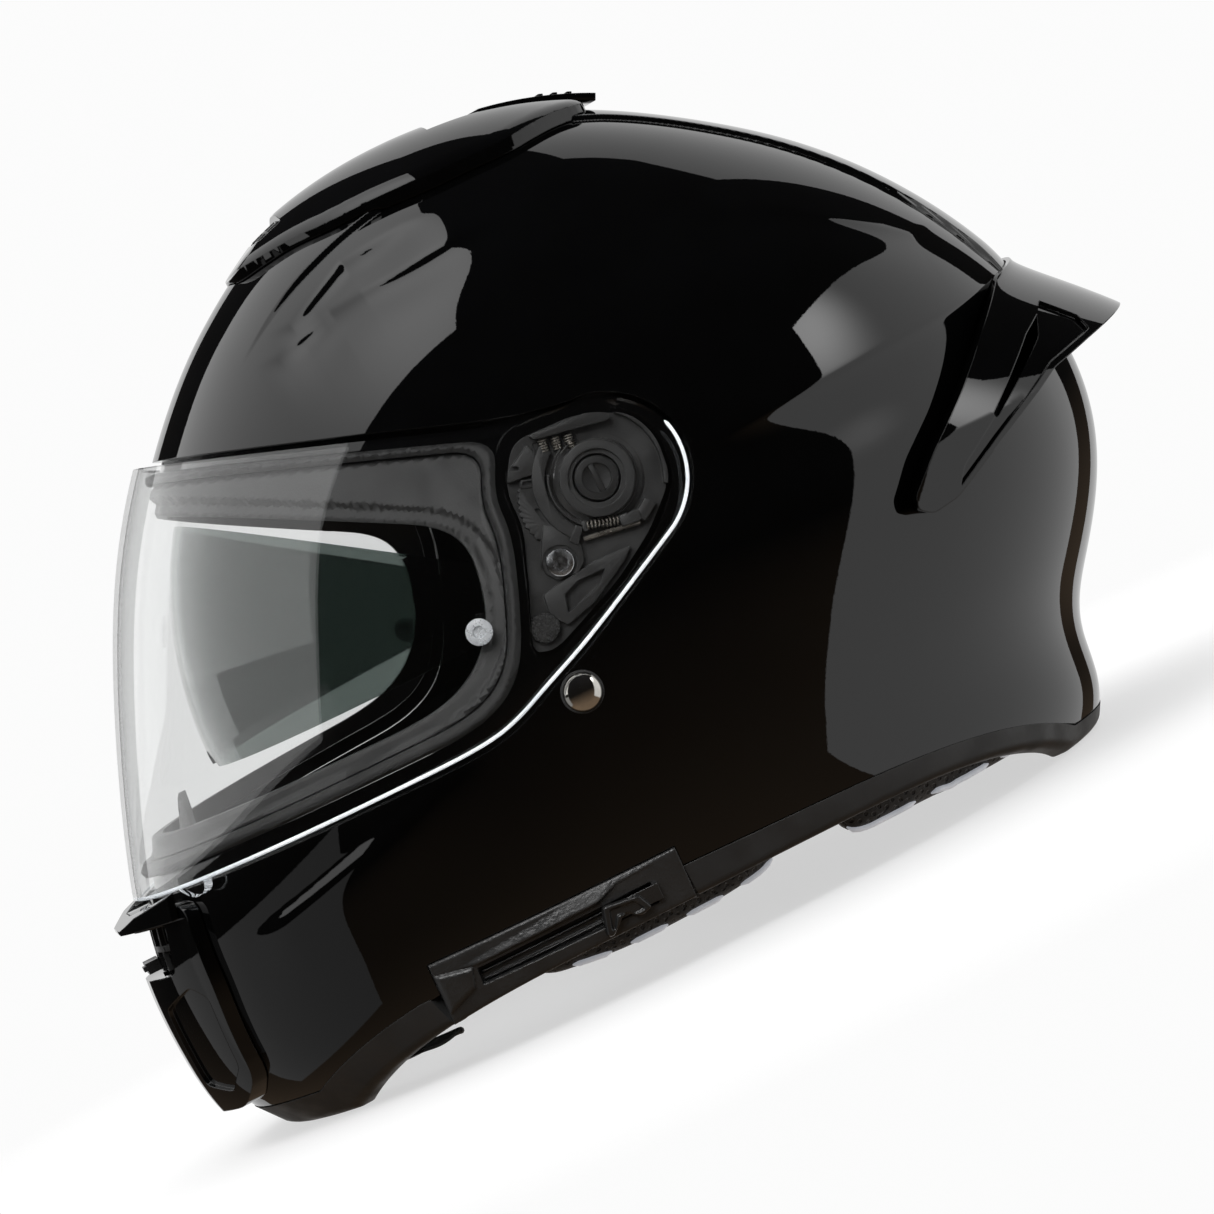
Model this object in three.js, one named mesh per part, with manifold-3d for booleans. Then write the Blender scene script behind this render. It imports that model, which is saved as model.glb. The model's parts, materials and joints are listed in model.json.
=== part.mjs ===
// A full-face motorcycle helmet with a clear visor, an inner sun visor and sliding vents.
// Millimetres. The helmet stands on its lower rim: Z is up, the face looks along -Y and the
// wearer's left is +X. The origin is on the table under the middle of the helmet.
import * as THREE from "three";
import { mergeVertices } from "three/addons/utils/BufferGeometryUtils.js";
import Module from "manifold-3d";

const wasm = await Module();
wasm.setup();

const DEG = Math.PI / 180;
const GAP = 0.3; // clearance between pieces that touch
const FAR = 400; // longer than the helmet, for cutters
const BELOW = -60; // a height well below the rim, where cutters start

// ---- Driving dimensions -------------------------------------------------------------------
const LENGTH = 363; // chin lip to spoiler tip
const CENTRE_HEIGHT = 115; // height of the point that the outer surface is drawn around
// Outer surface on the middle plane, [y, z], from the chin over the crown to the nape.
const CENTRE_PROFILE = [
  [-156, -2], [-167, 10], [-173, 35], [-172, 65], [-163, 98], [-148, 135], [-128, 174],
  [-100, 210], [-60, 241], [0, 253.5], [42, 246.5], [84, 224.5], [114, 201.5], [140, 171],
  [157, 138], [163, 112], [158, 78], [141, 50], [128.5, 28], [126, 12], [118, -3],
];
// Outer surface at the ears, [x, z], from the rim to the crown.
const SIDE_PROFILE = [
  [100, -3], [107, 12], [115.5, 40], [120.5, 75], [122, 100], [119, 141], [108, 176],
  [86, 208], [57, 234], [28, 248.5], [0, 253.5],
];
const FACE_FULLNESS = 0.035; // how much squarer than an ellipse the face is
const BACK_FULLNESS = 0.035; // and the back
const SHELL = 5; // shell thickness
const RECESS = 2.8; // depth of the shelf that the visor closes over
const LINER_SHARE = 0.7; // inner face of the impact liner, as a share of the outer surface
const PAD_SHARE = 0.66; // inner face of the crown pad

const VISOR_PIVOT = { y: 0, z: 141 };
const VISOR_GAP = 2.8; // from the outer surface to the visor's inner face
const VISOR_WALL = 2.4;
const ARM_OUTER = 125.2; // flat outer face of the visor's arms
const PLATE_TOP = 113.8; // outer face of the base plates
const POD_FLOOR = 112; // flat floor that carries the visor mechanism
const HUB_RADIUS = 11.4;

const SUN_PIVOT = { y: -10, z: 112 };
const SUN_RADIUS = 122; // sun visor's reach from its pivot, on the middle plane
const SUN_HALF_WIDTH = 97;
const SUN_WALL = 2;

const RIM_ARCH = 17; // the rim rises this far at the sides
const TRIM_DEPTH = 7; // rubber trim, measured into the helmet
const TRIM_PROUD = 0.2; // and out of it
const STRAP_WIDTH = 22;
const STRAP_THICKNESS = 1.8;
const STRAP_Y = -32; // middle of the strap, below its rivets

// Side-view outlines, [y, z]. Those of the face run on past its front.
const VISOR_TOP = [[-1, 164], [-21, 168], [-110, 201], [-220, 242]];
const VISOR_BOTTOM = [[-220, 83], [-64, 85.5], [-52, 88.5], [-41, 93.5], [-24.5, 100], [-7.5, 106.5]];
const VISOR_END_RADIUS = 26;
const EYEPORT = [
  [-220, 98], [-78, 99.5], [-66, 101.5], [-56, 106.5], [-47.5, 116], [-43.5, 128], [-42, 140],
  [-47.5, 149], [-112, 185], [-220, 246],
];
const FRAME_OUTER = [
  [-220, 91.5], [-67, 94.5], [-56, 97.5], [-48, 104], [-41.5, 116], [-34, 137], [-33.5, 149],
  [-26, 163], [-110, 195], [-220, 236],
];
const SEAL_OUTER = [
  [-220, 87.5], [-66, 90], [-53, 94], [-44, 102], [-37, 117], [-29.5, 137], [-29, 150],
  [-20.5, 164], [-110, 198.5], [-220, 240],
];
const POD = [
  [-40.5, 102.5], [-34, 99.8], [-24, 103.5], [-7, 110], [9, 119.5], [21, 131], [22.5, 145],
  [18, 155], [4, 161.5], [-18, 162.5], [-26.2, 150.5], [-26.8, 137.5], [-34, 117.8],
];
const POD_CENTRE = [-8, 132];
const FACE_CENTRE = [-70, 138];

// ---- Materials ----------------------------------------------------------------------------
const material = (color, roughness, metalness = 0, opacity = 1) =>
  new THREE.MeshStandardMaterial({
    color, roughness, metalness, opacity, transparent: opacity < 1, side: THREE.DoubleSide,
  });
const GLOSS_BLACK = material(0x050506, 0.08);
const SATIN_BLACK = material(0x17181a, 0.5);
const RUBBER = material(0x101113, 0.75);
const FOAM_WHITE = material(0xd8d8d4, 0.9);
const FABRIC = material(0x141416, 0.95);
const CLEAR = material(0xeef2f4, 0.05, 0, 0.25);
const TINT = material(0x2c3836, 0.06, 0, 0.7);
const STEEL = material(0xb9b4aa, 0.2, 1);

// ---- Solids -------------------------------------------------------------------------------
const solidOf = (geometry) => {
  const bare = geometry.clone();
  bare.deleteAttribute("normal");
  bare.deleteAttribute("uv");
  const merged = mergeVertices(bare, 1e-4);
  return new wasm.Manifold(new wasm.Mesh({
    numProp: 3,
    vertProperties: new Float32Array(merged.attributes.position.array),
    triVerts: new Uint32Array(merged.index.array),
  }));
};

const geometryOf = (solid) => {
  const made = solid.getMesh();
  const positions = new Float32Array(made.numVert * 3);
  for (let i = 0; i < made.numVert; i++) {
    const start = i * made.numProp;
    positions.set(made.vertProperties.subarray(start, start + 3), i * 3);
  }
  const geometry = new THREE.BufferGeometry();
  geometry.setAttribute("position", new THREE.BufferAttribute(positions, 3));
  geometry.setIndex(new THREE.BufferAttribute(new Uint32Array(made.triVerts), 1));
  geometry.computeVertexNormals();
  return geometry;
};

// An outline drawn for one side, in [x, other], carried over to the other side.
const bothSides = (points) => {
  const otherSide = points.filter(([x]) => x > 0).map(([x, other]) => [-x, other]);
  return [...points, ...otherSide.reverse()];
};
const shapeOf = (points) => new THREE.Shape(points.map(([a, b]) => new THREE.Vector2(a, b)));
const extruded = (shape, depth) =>
  new THREE.ExtrudeGeometry(shape, { depth, bevelEnabled: false, curveSegments: 8 });

// An outline drawn in (y, z), pushed along X from x0 to x1.
const alongX = (points, x0 = -FAR / 2, x1 = FAR / 2) => {
  const geometry = extruded(points.isShape ? points : shapeOf(points), x1 - x0);
  geometry.applyMatrix4(new THREE.Matrix4().makeBasis(
    new THREE.Vector3(0, 1, 0), new THREE.Vector3(0, 0, 1), new THREE.Vector3(1, 0, 0),
  ));
  return solidOf(geometry.translate(x0, 0, 0));
};

// An outline drawn in (x, y), pushed along Z.
const alongZ = (points, z0, z1) =>
  solidOf(extruded(points.isShape ? points : shapeOf(points), z1 - z0).translate(0, 0, z0));

// An outline drawn in (x, z), pushed along Y from y0 to y1.
const alongY = (points, y0, y1) => {
  const geometry = extruded(points.isShape ? points : shapeOf(points), y1 - y0);
  return solidOf(geometry.rotateX(90 * DEG).translate(0, y1, 0));
};

const block = (x0, x1, y0, y1, z0, z1) =>
  solidOf(new THREE.BoxGeometry(x1 - x0, y1 - y0, z1 - z0)
    .translate((x0 + x1) / 2, (y0 + y1) / 2, (z0 + z1) / 2));

// A disc or drum whose axis is X.
const drum = (radius, x0, x1, y, z, sides = 32, endRadius = radius) =>
  solidOf(new THREE.CylinderGeometry(endRadius, radius, x1 - x0, sides)
    .rotateZ(-90 * DEG).translate((x0 + x1) / 2, y, z));

// Something made round the X axis, set on the outer surface and leaning as the surface does.
const seated = (geometry, y, z) => {
  const reach = 4;
  const lean = Math.atan2(halfWidthAt(y + reach, z) - halfWidthAt(y - reach, z), 2 * reach);
  return solidOf(geometry.rotateZ(-lean).translate(halfWidthAt(y, z), y, z));
};
const mirrored = (solid) => {
  const flipped = geometryOf(solid).scale(-1, 1, 1);
  return solidOf(flipped.setIndex([...flipped.index.array].reverse()));
};

// ---- Outer surface ------------------------------------------------------------------------
// A natural cubic spline of distance from the drawing centre, over the angle up from the face.
class Profile {
  constructor(points) {
    const polar = points.map(([across, z]) => {
      const angle = Math.atan2(z - CENTRE_HEIGHT, -across);
      return [angle < -90 * DEG ? angle + 360 * DEG : angle, Math.hypot(across, z - CENTRE_HEIGHT)];
    });
    this.angles = polar.map((p) => p[0]);
    this.radii = polar.map((p) => p[1]);
    this.bends = this.secondDerivatives();
  }

  secondDerivatives() {
    const { angles: a, radii: r } = this;
    const last = a.length - 1;
    const bends = new Array(last + 1).fill(0);
    const carried = new Array(last + 1).fill(0);
    for (let i = 1; i < last; i++) {
      const share = (a[i] - a[i - 1]) / (a[i + 1] - a[i - 1]);
      const pivot = share * bends[i - 1] + 2;
      const turn = (r[i + 1] - r[i]) / (a[i + 1] - a[i]) - (r[i] - r[i - 1]) / (a[i] - a[i - 1]);
      bends[i] = (share - 1) / pivot;
      carried[i] = ((6 * turn) / (a[i + 1] - a[i - 1]) - share * carried[i - 1]) / pivot;
    }
    for (let i = last - 1; i >= 0; i--) bends[i] = bends[i] * bends[i + 1] + carried[i];
    bends[0] = 0;
    return bends;
  }

  at(angle) {
    const { angles: a, radii: r, bends } = this;
    const x = THREE.MathUtils.clamp(angle, a[0], a[a.length - 1]);
    let i = 0;
    while (i < a.length - 2 && x > a[i + 1]) i++;
    const step = a[i + 1] - a[i];
    const p = (a[i + 1] - x) / step;
    const q = 1 - p;
    const curve = (p ** 3 - p) * bends[i] + (q ** 3 - q) * bends[i + 1];
    return p * r[i] + q * r[i + 1] + (curve * step * step) / 6;
  }
}

const centreProfile = new Profile(CENTRE_PROFILE);
const sideHalf = SIDE_PROFILE.map(([x, z]) => [-x, z]);
const sideProfile = new Profile([...sideHalf, ...SIDE_PROFILE.slice(0, -1).reverse()]);

const smooth = (low, high, value) => THREE.MathUtils.smoothstep(value, low, high);

// Distance of the outer surface from the drawing centre, turned from the face and raised.
const outerRadius = (turn, rise) => {
  const facing = Math.cos(turn);
  const sideways = Math.sin(turn);
  const middle = centreProfile.at(facing > 0 ? rise : 180 * DEG - rise);
  const side = sideProfile.at(rise);
  const ellipse = 1 / Math.hypot(facing / middle, sideways / side);
  const fullness = facing > 0
    ? FACE_FULLNESS * (1 - smooth(20 * DEG, 70 * DEG, rise))
    : BACK_FULLNESS * smooth(-30 * DEG, 0, rise) * (1 - smooth(50 * DEG, 85 * DEG, rise));
  return ellipse * (1 + fullness * Math.sin(2 * turn) ** 2);
};

// A closed ball-like solid whose surface is radius(turn, rise) from the drawing centre, with a
// flat underside below the rim.
const UNDERSIDE = 140; // below the drawing centre
const dome = (radius, around, up) => {
  const ball = new THREE.SphereGeometry(1, around, up).rotateX(90 * DEG);
  const place = ball.attributes.position;
  const p = new THREE.Vector3();
  for (let i = 0; i < place.count; i++) {
    p.fromBufferAttribute(place, i).normalize();
    const turn = Math.abs(Math.atan2(p.x, -p.y));
    const rise = Math.asin(THREE.MathUtils.clamp(p.z, -1, 1));
    const full = radius(turn, rise);
    const reach = p.z < 0 ? Math.min(full, UNDERSIDE / -p.z) : full;
    p.multiplyScalar(reach);
    place.setXYZ(i, p.x, p.y, p.z + CENTRE_HEIGHT);
  }
  return solidOf(ball);
};
const GRID = [36, 22]; // faces around and up, the same for every skin, so that gaps stay even
const INNER_GRID = [24, 14];
const offsetDome = (offset) => dome((turn, rise) => outerRadius(turn, rise) + offset, ...GRID);
const scaledDome = (share) => dome((turn, rise) => outerRadius(turn, rise) * share, ...INNER_GRID);

// Half-width of the outer surface at a place in the side view.
const halfWidthAt = (y, z) => {
  let low = 0;
  let high = 160;
  for (let i = 0; i < 40; i++) {
    const x = (low + high) / 2;
    const distance = Math.hypot(x, y, z - CENTRE_HEIGHT);
    const turn = Math.atan2(x, -y);
    const inside = distance < outerRadius(turn, Math.asin((z - CENTRE_HEIGHT) / distance));
    if (inside) low = x;
    else high = x;
  }
  return low;
};

const outer = offsetDome(0);

// ---- Rim ----------------------------------------------------------------------------------
// Height of the rim's underside: flat on the table at chin and nape, arched at the sides.
const CHIN_FLAT = -148;
const NAPE_FLAT = 106;
const rimHeight = (y) => {
  const middle = (CHIN_FLAT + NAPE_FLAT) / 2;
  return Math.max(0, RIM_ARCH * (1 - ((y - middle) / (NAPE_FLAT - middle)) ** 4));
};
const TRIM_HEIGHT = { front: 10.5, rear: 6, from: -26, to: 123 }; // tapers between two places in y
const trimTop = (y) => {
  const { front, rear, from, to } = TRIM_HEIGHT;
  return rimHeight(y) + THREE.MathUtils.mapLinear(THREE.MathUtils.clamp(y, from, to), from, to, front, rear);
};
const COVER_FRONT = -107;
const COVER_REAR = -27;

// A side-view outline between two curves over y. All share one spacing, so that edges match.
const RIM_STEP = 12;
const between = (bottom, top, y0, y1) => {
  const first = Math.floor(y0 / RIM_STEP) + 1;
  const count = Math.max(0, Math.ceil(y1 / RIM_STEP) - first);
  const steps = Array.from({ length: count }, (_, i) => (first + i) * RIM_STEP);
  const flats = [CHIN_FLAT, NAPE_FLAT].filter((y) => y > y0 && y < y1);
  const along = [y0, y1, ...steps, ...flats].sort((a, b) => a - b);
  const lower = along.map((y) => [y, bottom(y)]);
  const upper = along.map((y) => [y, top(y)]).reverse();
  return [...lower, ...upper];
};
const belowShell = alongX(between(() => BELOW, trimTop, -FAR / 2, FAR / 2));
const makeRimBand = (y0, y1) => offsetDome(TRIM_PROUD).subtract(offsetDome(-TRIM_DEPTH))
  .intersect(alongX(between(rimHeight, (y) => trimTop(y) - GAP, y0, y1)));

// ---- Shell --------------------------------------------------------------------------------
const VISOR_END = { steps: 10, from: -62, step: 17, squash: 0.9, start: 3 };
const visorEnd = Array.from({ length: VISOR_END.steps }, (_, i) => {
  const angle = (VISOR_END.from + i * VISOR_END.step) * DEG;
  return [
    VISOR_PIVOT.y + VISOR_END_RADIUS * Math.cos(angle),
    VISOR_PIVOT.z + VISOR_END_RADIUS * Math.sin(angle) * (angle > 0 ? VISOR_END.squash : 1),
  ];
}).filter(([y]) => y > VISOR_END.start);
const visorOutline = [...VISOR_BOTTOM.slice(0, -1), ...visorEnd, ...VISOR_TOP];
const grown = (points, by, centre = FACE_CENTRE) => points.map(([y, z]) => {
  const away = Math.hypot(y - centre[0], z - centre[1]);
  return [y + ((y - centre[0]) / away) * by, z + ((z - centre[1]) / away) * by];
});
const visorShelf = alongX(grown(visorOutline, 2.5));
const COVER_TOP = 33.5;
const POD_WALL = 3;
const coverPocket = alongX(between(() => BELOW, () => COVER_TOP + GAP, COVER_FRONT, COVER_REAR));
const CHIN_INTAKE = { halfWidth: 13, bottom: 55, top: 66 };

const makeShell = () => {
  const skin = outer.subtract(visorShelf).add(offsetDome(-RECESS));
  const podFloor = alongX(grown(POD, POD_WALL, POD_CENTRE), POD_FLOOR - POD_WALL, POD_FLOOR).intersect(outer);
  const podSpace = alongX(POD, POD_FLOOR, FAR / 2);
  const { halfWidth, bottom, top } = CHIN_INTAKE;
  return skin.subtract(offsetDome(-SHELL))
    .add(podFloor).add(mirrored(podFloor))
    .subtract(podSpace).subtract(mirrored(podSpace))
    .subtract(alongX(SEAL_OUTER))
    .subtract(belowShell)
    .subtract(coverPocket)
    .subtract(block(-halfWidth, halfWidth, -FAR / 2, -140, bottom, top));
};

// ---- Eyeport frame and seal ----------------------------------------------------------------
// Offsets from the outer surface.
const FRAME_SKIN = { outer: -1.6, inner: -8 };
const SEAL_SKIN = { outer: 1.2, inner: -6 };
const ring = (outside, inside, top, bottom) => offsetDome(top).subtract(offsetDome(bottom))
  .intersect(alongX(outside).subtract(alongX(inside)));
const makeEyeportFrame = () => ring(grown(FRAME_OUTER, -GAP), EYEPORT, FRAME_SKIN.outer, FRAME_SKIN.inner);
const makeEyeportSeal = () => ring(grown(SEAL_OUTER, -GAP), FRAME_OUTER, SEAL_SKIN.outer, SEAL_SKIN.inner);

// ---- Visor --------------------------------------------------------------------------------
const SIDEWAYS = 0.05; // a direction counts as sideways when its share along X is above this
const visorRadius = (extra) => (turn, rise) => {
  const curved = outerRadius(turn, rise) + VISOR_GAP + extra;
  const flat = ARM_OUTER - VISOR_WALL + extra;
  const across = Math.cos(rise) * Math.sin(turn);
  return across > SIDEWAYS ? Math.min(curved, flat / across) : curved;
};
const LIFT_TAB = [[46, 80.5], [63, 80.5], [63, 87], [46, 87]]; // [x, z]
const HUB_RING = { inner: HUB_RADIUS + 0.4, outer: HUB_RADIUS + 2 };
const makeHubRing = () => {
  const { y, z } = VISOR_PIVOT;
  const start = PLATE_TOP + 2 * GAP;
  const end = ARM_OUTER - VISOR_WALL / 2;
  return drum(HUB_RING.outer, start, end, y, z).subtract(drum(HUB_RING.inner, 0, FAR, y, z));
};
const makeVisor = () => {
  const skin = dome(visorRadius(VISOR_WALL), ...GRID).subtract(dome(visorRadius(0), ...GRID));
  const pane = skin.intersect(alongX(visorOutline));
  const tab = skin.intersect(alongY(LIFT_TAB, -FAR / 2, -100));
  const hub = makeHubRing();
  return pane.add(tab).add(hub).add(mirrored(hub));
};

const PIN = { y: -51, z: 116, radius: 4, from: -0.4, to: 1.5 };
const makeAntifogPin = () => seated(
  new THREE.CylinderGeometry(PIN.radius, PIN.radius, PIN.to - PIN.from, 20)
    .rotateZ(-90 * DEG).translate((PIN.from + PIN.to) / 2, 0, 0),
  PIN.y, PIN.z,
);

// ---- Visor mechanism ----------------------------------------------------------------------
const HUB_TOP = 117.6;
const HUB_BORE = 7;
const SINK = 0.5; // how far the hub, the stop and the rib are set into the plate
const PIVOT_SCREW = { radius: 6.6, bottom: PLATE_TOP + 0.1, top: HUB_TOP - SINK, slot: 1.4, slotWidth: 1.4 };
const PLATE_SCREW = { y: -20.5, z: 123.5, radius: 4.6, shank: 2.8, hole: 3.2, rise: 1.8, socket: 2 };
const DETENT = { y: -33, z: 108.4, radius: 4.1, tip: 3.4, rise: 1.6 };
// Bands round the pivot: radii in millimetres, from and to in degrees.
const LATCH = { inner: 15.2, outer: 19, from: 124, to: 228 };
const LATCH_BOTTOM = PLATE_TOP + GAP;
const LATCH_TOP = 115.7;
const STOP = { inner: LATCH.inner, outer: LATCH.outer, from: 292, to: 312 };
const RIB = { inner: 20, outer: 21.4, from: -26, to: 48 };
const PLATE_SLOT = [[-29, 111.5], [-22, 111.5], [-22, 114.5], [-29, 114.5]];
const SPRING_RADIUS = 0.8;
const SPRING_INSET = 0.8; // from the latch's outer edge to the spring's axis

const aroundPivot = (radius, degrees) => [
  VISOR_PIVOT.y + radius * Math.cos(degrees * DEG),
  VISOR_PIVOT.z + radius * Math.sin(degrees * DEG),
];
const arcBand = ({ inner: low, outer: high, from, to }, steps = 12) => {
  const angles = Array.from({ length: steps + 1 }, (_, i) => from + ((to - from) * i) / steps);
  const outside = angles.map((angle) => aroundPivot(high, angle));
  const inside = angles.map((angle) => aroundPivot(low, angle)).reverse();
  return [...outside, ...inside];
};
const atPivot = (radius, x0, x1, sides) => drum(radius, x0, x1, VISOR_PIVOT.y, VISOR_PIVOT.z, sides);

const makeBasePlate = () => {
  const plate = alongX(grown(POD, -1.4, POD_CENTRE), POD_FLOOR + GAP, PLATE_TOP);
  const hub = atPivot(HUB_RADIUS, PLATE_TOP - SINK, HUB_TOP)
    .subtract(atPivot(HUB_BORE, PLATE_TOP - 0.2, FAR));
  const stop = alongX(arcBand(STOP, 4), PLATE_TOP - SINK, LATCH_TOP);
  const rib = alongX(arcBand(RIB, 8), PLATE_TOP - SINK, LATCH_TOP);
  return plate.add(hub).add(stop).add(rib)
    .subtract(drum(PLATE_SCREW.hole, 0, FAR, PLATE_SCREW.y, PLATE_SCREW.z, 20))
    .subtract(alongX(PLATE_SLOT, 0, FAR));
};

const makePivotScrew = () => {
  const { radius, bottom, top, slot, slotWidth } = PIVOT_SCREW;
  const reach = 9;
  const { z } = VISOR_PIVOT;
  return atPivot(radius, bottom, top, 28)
    .subtract(block(top - slot, FAR, -slotWidth / 2, slotWidth / 2, z - reach, z + reach));
};

const makePlateScrew = () => {
  const { y, z, radius, shank, rise, socket } = PLATE_SCREW;
  const head = drum(radius, PLATE_TOP + GAP, PLATE_TOP + rise, y, z, 24);
  const stem = drum(shank, POD_FLOOR + GAP, PLATE_TOP + 1, y, z, 20);
  return head.add(stem).subtract(drum(socket, PLATE_TOP + 0.8, FAR, y, z, 6));
};

const makeDetentPad = () => {
  const { y, z, radius, tip, rise } = DETENT;
  return drum(radius, PLATE_TOP + GAP, PLATE_TOP + rise, y, z, 24, tip);
};

const makeLatchArm = () => {
  const { inner: low, outer: high, from, to } = LATCH;
  const foot = { inner: low - 0.6, outer: high + 1.2, from: to - 8, to };
  const headEnd = from + 14;
  const headTop = high + 2.5;
  const head = [
    aroundPivot(low, from), aroundPivot(headTop, from),
    aroundPivot(headTop, headEnd), aroundPivot(low, headEnd),
  ];
  const flat = (outline) => alongX(outline, LATCH_BOTTOM, LATCH_TOP);
  return flat(arcBand(LATCH, 16)).add(flat(arcBand(foot, 3))).add(flat(head));
};

const makeLatchSpring = () => {
  const reach = LATCH.outer - SPRING_INSET;
  const start = new THREE.Vector2(...aroundPivot(reach, LATCH.to + 4));
  const end = new THREE.Vector2(...aroundPivot(reach, STOP.from - 3));
  const run = end.clone().sub(start);
  const middle = start.clone().add(end).multiplyScalar(0.5);
  return solidOf(new THREE.CylinderGeometry(SPRING_RADIUS, SPRING_RADIUS, run.length(), 10)
    .rotateX(Math.atan2(run.y, run.x))
    .translate((LATCH_BOTTOM + LATCH_TOP) / 2, middle.x, middle.y));
};

// ---- Sun visor ----------------------------------------------------------------------------
// A shell of revolution about its own pivot axis, so that it slides into a thin pocket.
const SUN_STEPS = 10;
const SUN_AROUND = 54;
const SUN_SQUARENESS = 2.5; // 2 would be an ellipse
const SUN_LOW = -1; // degrees round the pivot, above straight ahead
const SUN_HIGH = 34.5;
const SUN_LENS_START = 34; // where the arms end and the lens begins, from the pivot
const SUN_REACH = 160; // past the lens
const SUN_POCKET = 2.2; // from the lens's inner face to the liner
// The arm's outline: distance from the pivot and degrees round it.
const SUN_ARM = [
  [40, SUN_LOW + 8], [40, SUN_HIGH - 6], [10, 70], [9, 160], [9, 215], [9, 270], [11, -40],
];
const NOSE_CUT = { radius: 24, squash: 0.75, drop: 15, from: -155, to: -95 };
const SUN_SCREW = { radius: 4.5, from: SUN_HALF_WIDTH + 0.5, to: SUN_HALF_WIDTH + 3 };

const sunProfile = (shrink) => Array.from({ length: SUN_STEPS + 1 }, (_, i) => {
  const angle = (i * 90 * DEG) / SUN_STEPS;
  const power = 2 / SUN_SQUARENESS;
  return new THREE.Vector2(
    (SUN_RADIUS - shrink) * Math.sin(angle) ** power,
    (SUN_HALF_WIDTH - shrink) * Math.cos(angle) ** power,
  );
});
const sunBall = (shrink) => {
  const half = sunProfile(shrink);
  const otherHalf = half.slice(0, -1).reverse().map((p) => new THREE.Vector2(p.x, -p.y));
  const ball = new THREE.LatheGeometry([...half, ...otherHalf].reverse(), SUN_AROUND).rotateZ(-90 * DEG);
  return solidOf(ball.translate(0, SUN_PIVOT.y, SUN_PIVOT.z));
};
const sunPolar = (radius, degrees) => [
  SUN_PIVOT.y - radius * Math.cos(degrees * DEG),
  SUN_PIVOT.z + radius * Math.sin(degrees * DEG),
];
const sunSector = (from, to, reach, start = 0) => {
  const steps = 10;
  const arc = Array.from({ length: steps + 1 }, (_, i) => sunPolar(reach, from + ((to - from) * i) / steps));
  return start ? [...arc, sunPolar(start, to), sunPolar(start, from)] : [...arc, sunPolar(0, 0)];
};

const makeSunVisor = () => {
  const lens = alongX(sunSector(SUN_LOW, SUN_HIGH, SUN_REACH, SUN_LENS_START));
  const arms = alongX(SUN_ARM.map(([radius, degrees]) => sunPolar(radius, degrees)));
  const { radius, squash, drop, from, to } = NOSE_CUT;
  const nose = solidOf(new THREE.CylinderGeometry(radius, radius, to - from, 28)
    .rotateX(90 * DEG).scale(1, 1, squash).translate(0, (from + to) / 2, SUN_PIVOT.z - drop));
  return sunBall(0).subtract(sunBall(SUN_WALL)).intersect(lens.add(arms)).subtract(nose);
};

const makeSunScrew = () => drum(SUN_SCREW.radius, SUN_SCREW.from, SUN_SCREW.to, SUN_PIVOT.y, SUN_PIVOT.z, 20);

// ---- Impact liners --------------------------------------------------------------------------
const LINER_GAP = 0.8;
const LINER_BOTTOM = 34;
const SCREW_ROOM = { radius: 16, depth: 6 }; // round the sun visor's screws
const NECK_OPENING = { x: 76, y: 92 };
const FACE_SPACE = [
  [-220, -20], [14, -20], [14, 84], [-6, 100], [-14, 150], [-52, 160], [-112, 197], [-220, 262],
];
const CHIN_LINER = { inner: -26, rear: -88, ledge: -108.5, bottom: 26, top: 80 };

const ovalPillar = (x, y, z0, z1, middle) => solidOf(
  new THREE.CylinderGeometry(1, 1, z1 - z0, 36).rotateX(90 * DEG).scale(x, y, 1)
    .translate(0, middle, (z0 + z1) / 2),
);
const linerOuter = offsetDome(-SHELL - LINER_GAP);
const headWay = ovalPillar(NECK_OPENING.x, NECK_OPENING.y, BELOW, CENTRE_HEIGHT, 0);
const slab = (z0, z1) => block(-FAR / 2, FAR / 2, -FAR / 2, FAR / 2, z0, z1);

const makeImpactLiner = () => {
  const armSpace = alongX(grown(POD, 6, POD_CENTRE), POD_FLOOR - 4.5, FAR / 2);
  const roomStart = SUN_HALF_WIDTH - SCREW_ROOM.depth;
  const screwRoom = drum(SCREW_ROOM.radius, roomStart, FAR / 2, SUN_PIVOT.y, SUN_PIVOT.z);
  const sunPocket = alongX(sunSector(-20, 102, FAR / 2)).subtract(sunBall(SUN_WALL + SUN_POCKET));
  return linerOuter.subtract(scaledDome(LINER_SHARE))
    .subtract(headWay)
    .subtract(alongX(FACE_SPACE))
    .subtract(slab(BELOW, LINER_BOTTOM))
    .subtract(sunPocket)
    .subtract(screwRoom).subtract(mirrored(screwRoom))
    .subtract(armSpace).subtract(mirrored(armSpace));
};

const makeChinLiner = () => {
  const { inner: depth, rear, ledge, bottom, top } = CHIN_LINER;
  return linerOuter.subtract(offsetDome(depth))
    .intersect(block(-FAR / 2, FAR / 2, -FAR / 2, rear, bottom, top))
    .subtract(block(-FAR / 2, FAR / 2, ledge, 0, 0, COVER_TOP + 1));
};

// ---- Chin strap -----------------------------------------------------------------------------
// One band in the plane across the helmet, from rivet to rivet; its outline is [x, z].
const STRAP_LINE = [[105, 86], [95, 64], [76, 46], [50, 34], [22, 28], [0, 27]];
const STRAP = { from: 0.03, leftTo: 0.86, rightTo: 0.93 }; // shares of half the strap's length
const STRAP_PAD = { from: 0.5, to: 0.78, thickness: 6.4, width: STRAP_WIDTH + 8 };
const SLIT = { thickness: STRAP_THICKNESS + 3, width: STRAP_WIDTH + 4 };
const PAD_SLIT = { thickness: STRAP_PAD.thickness + 2, width: STRAP_PAD.width + 2 };

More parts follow.
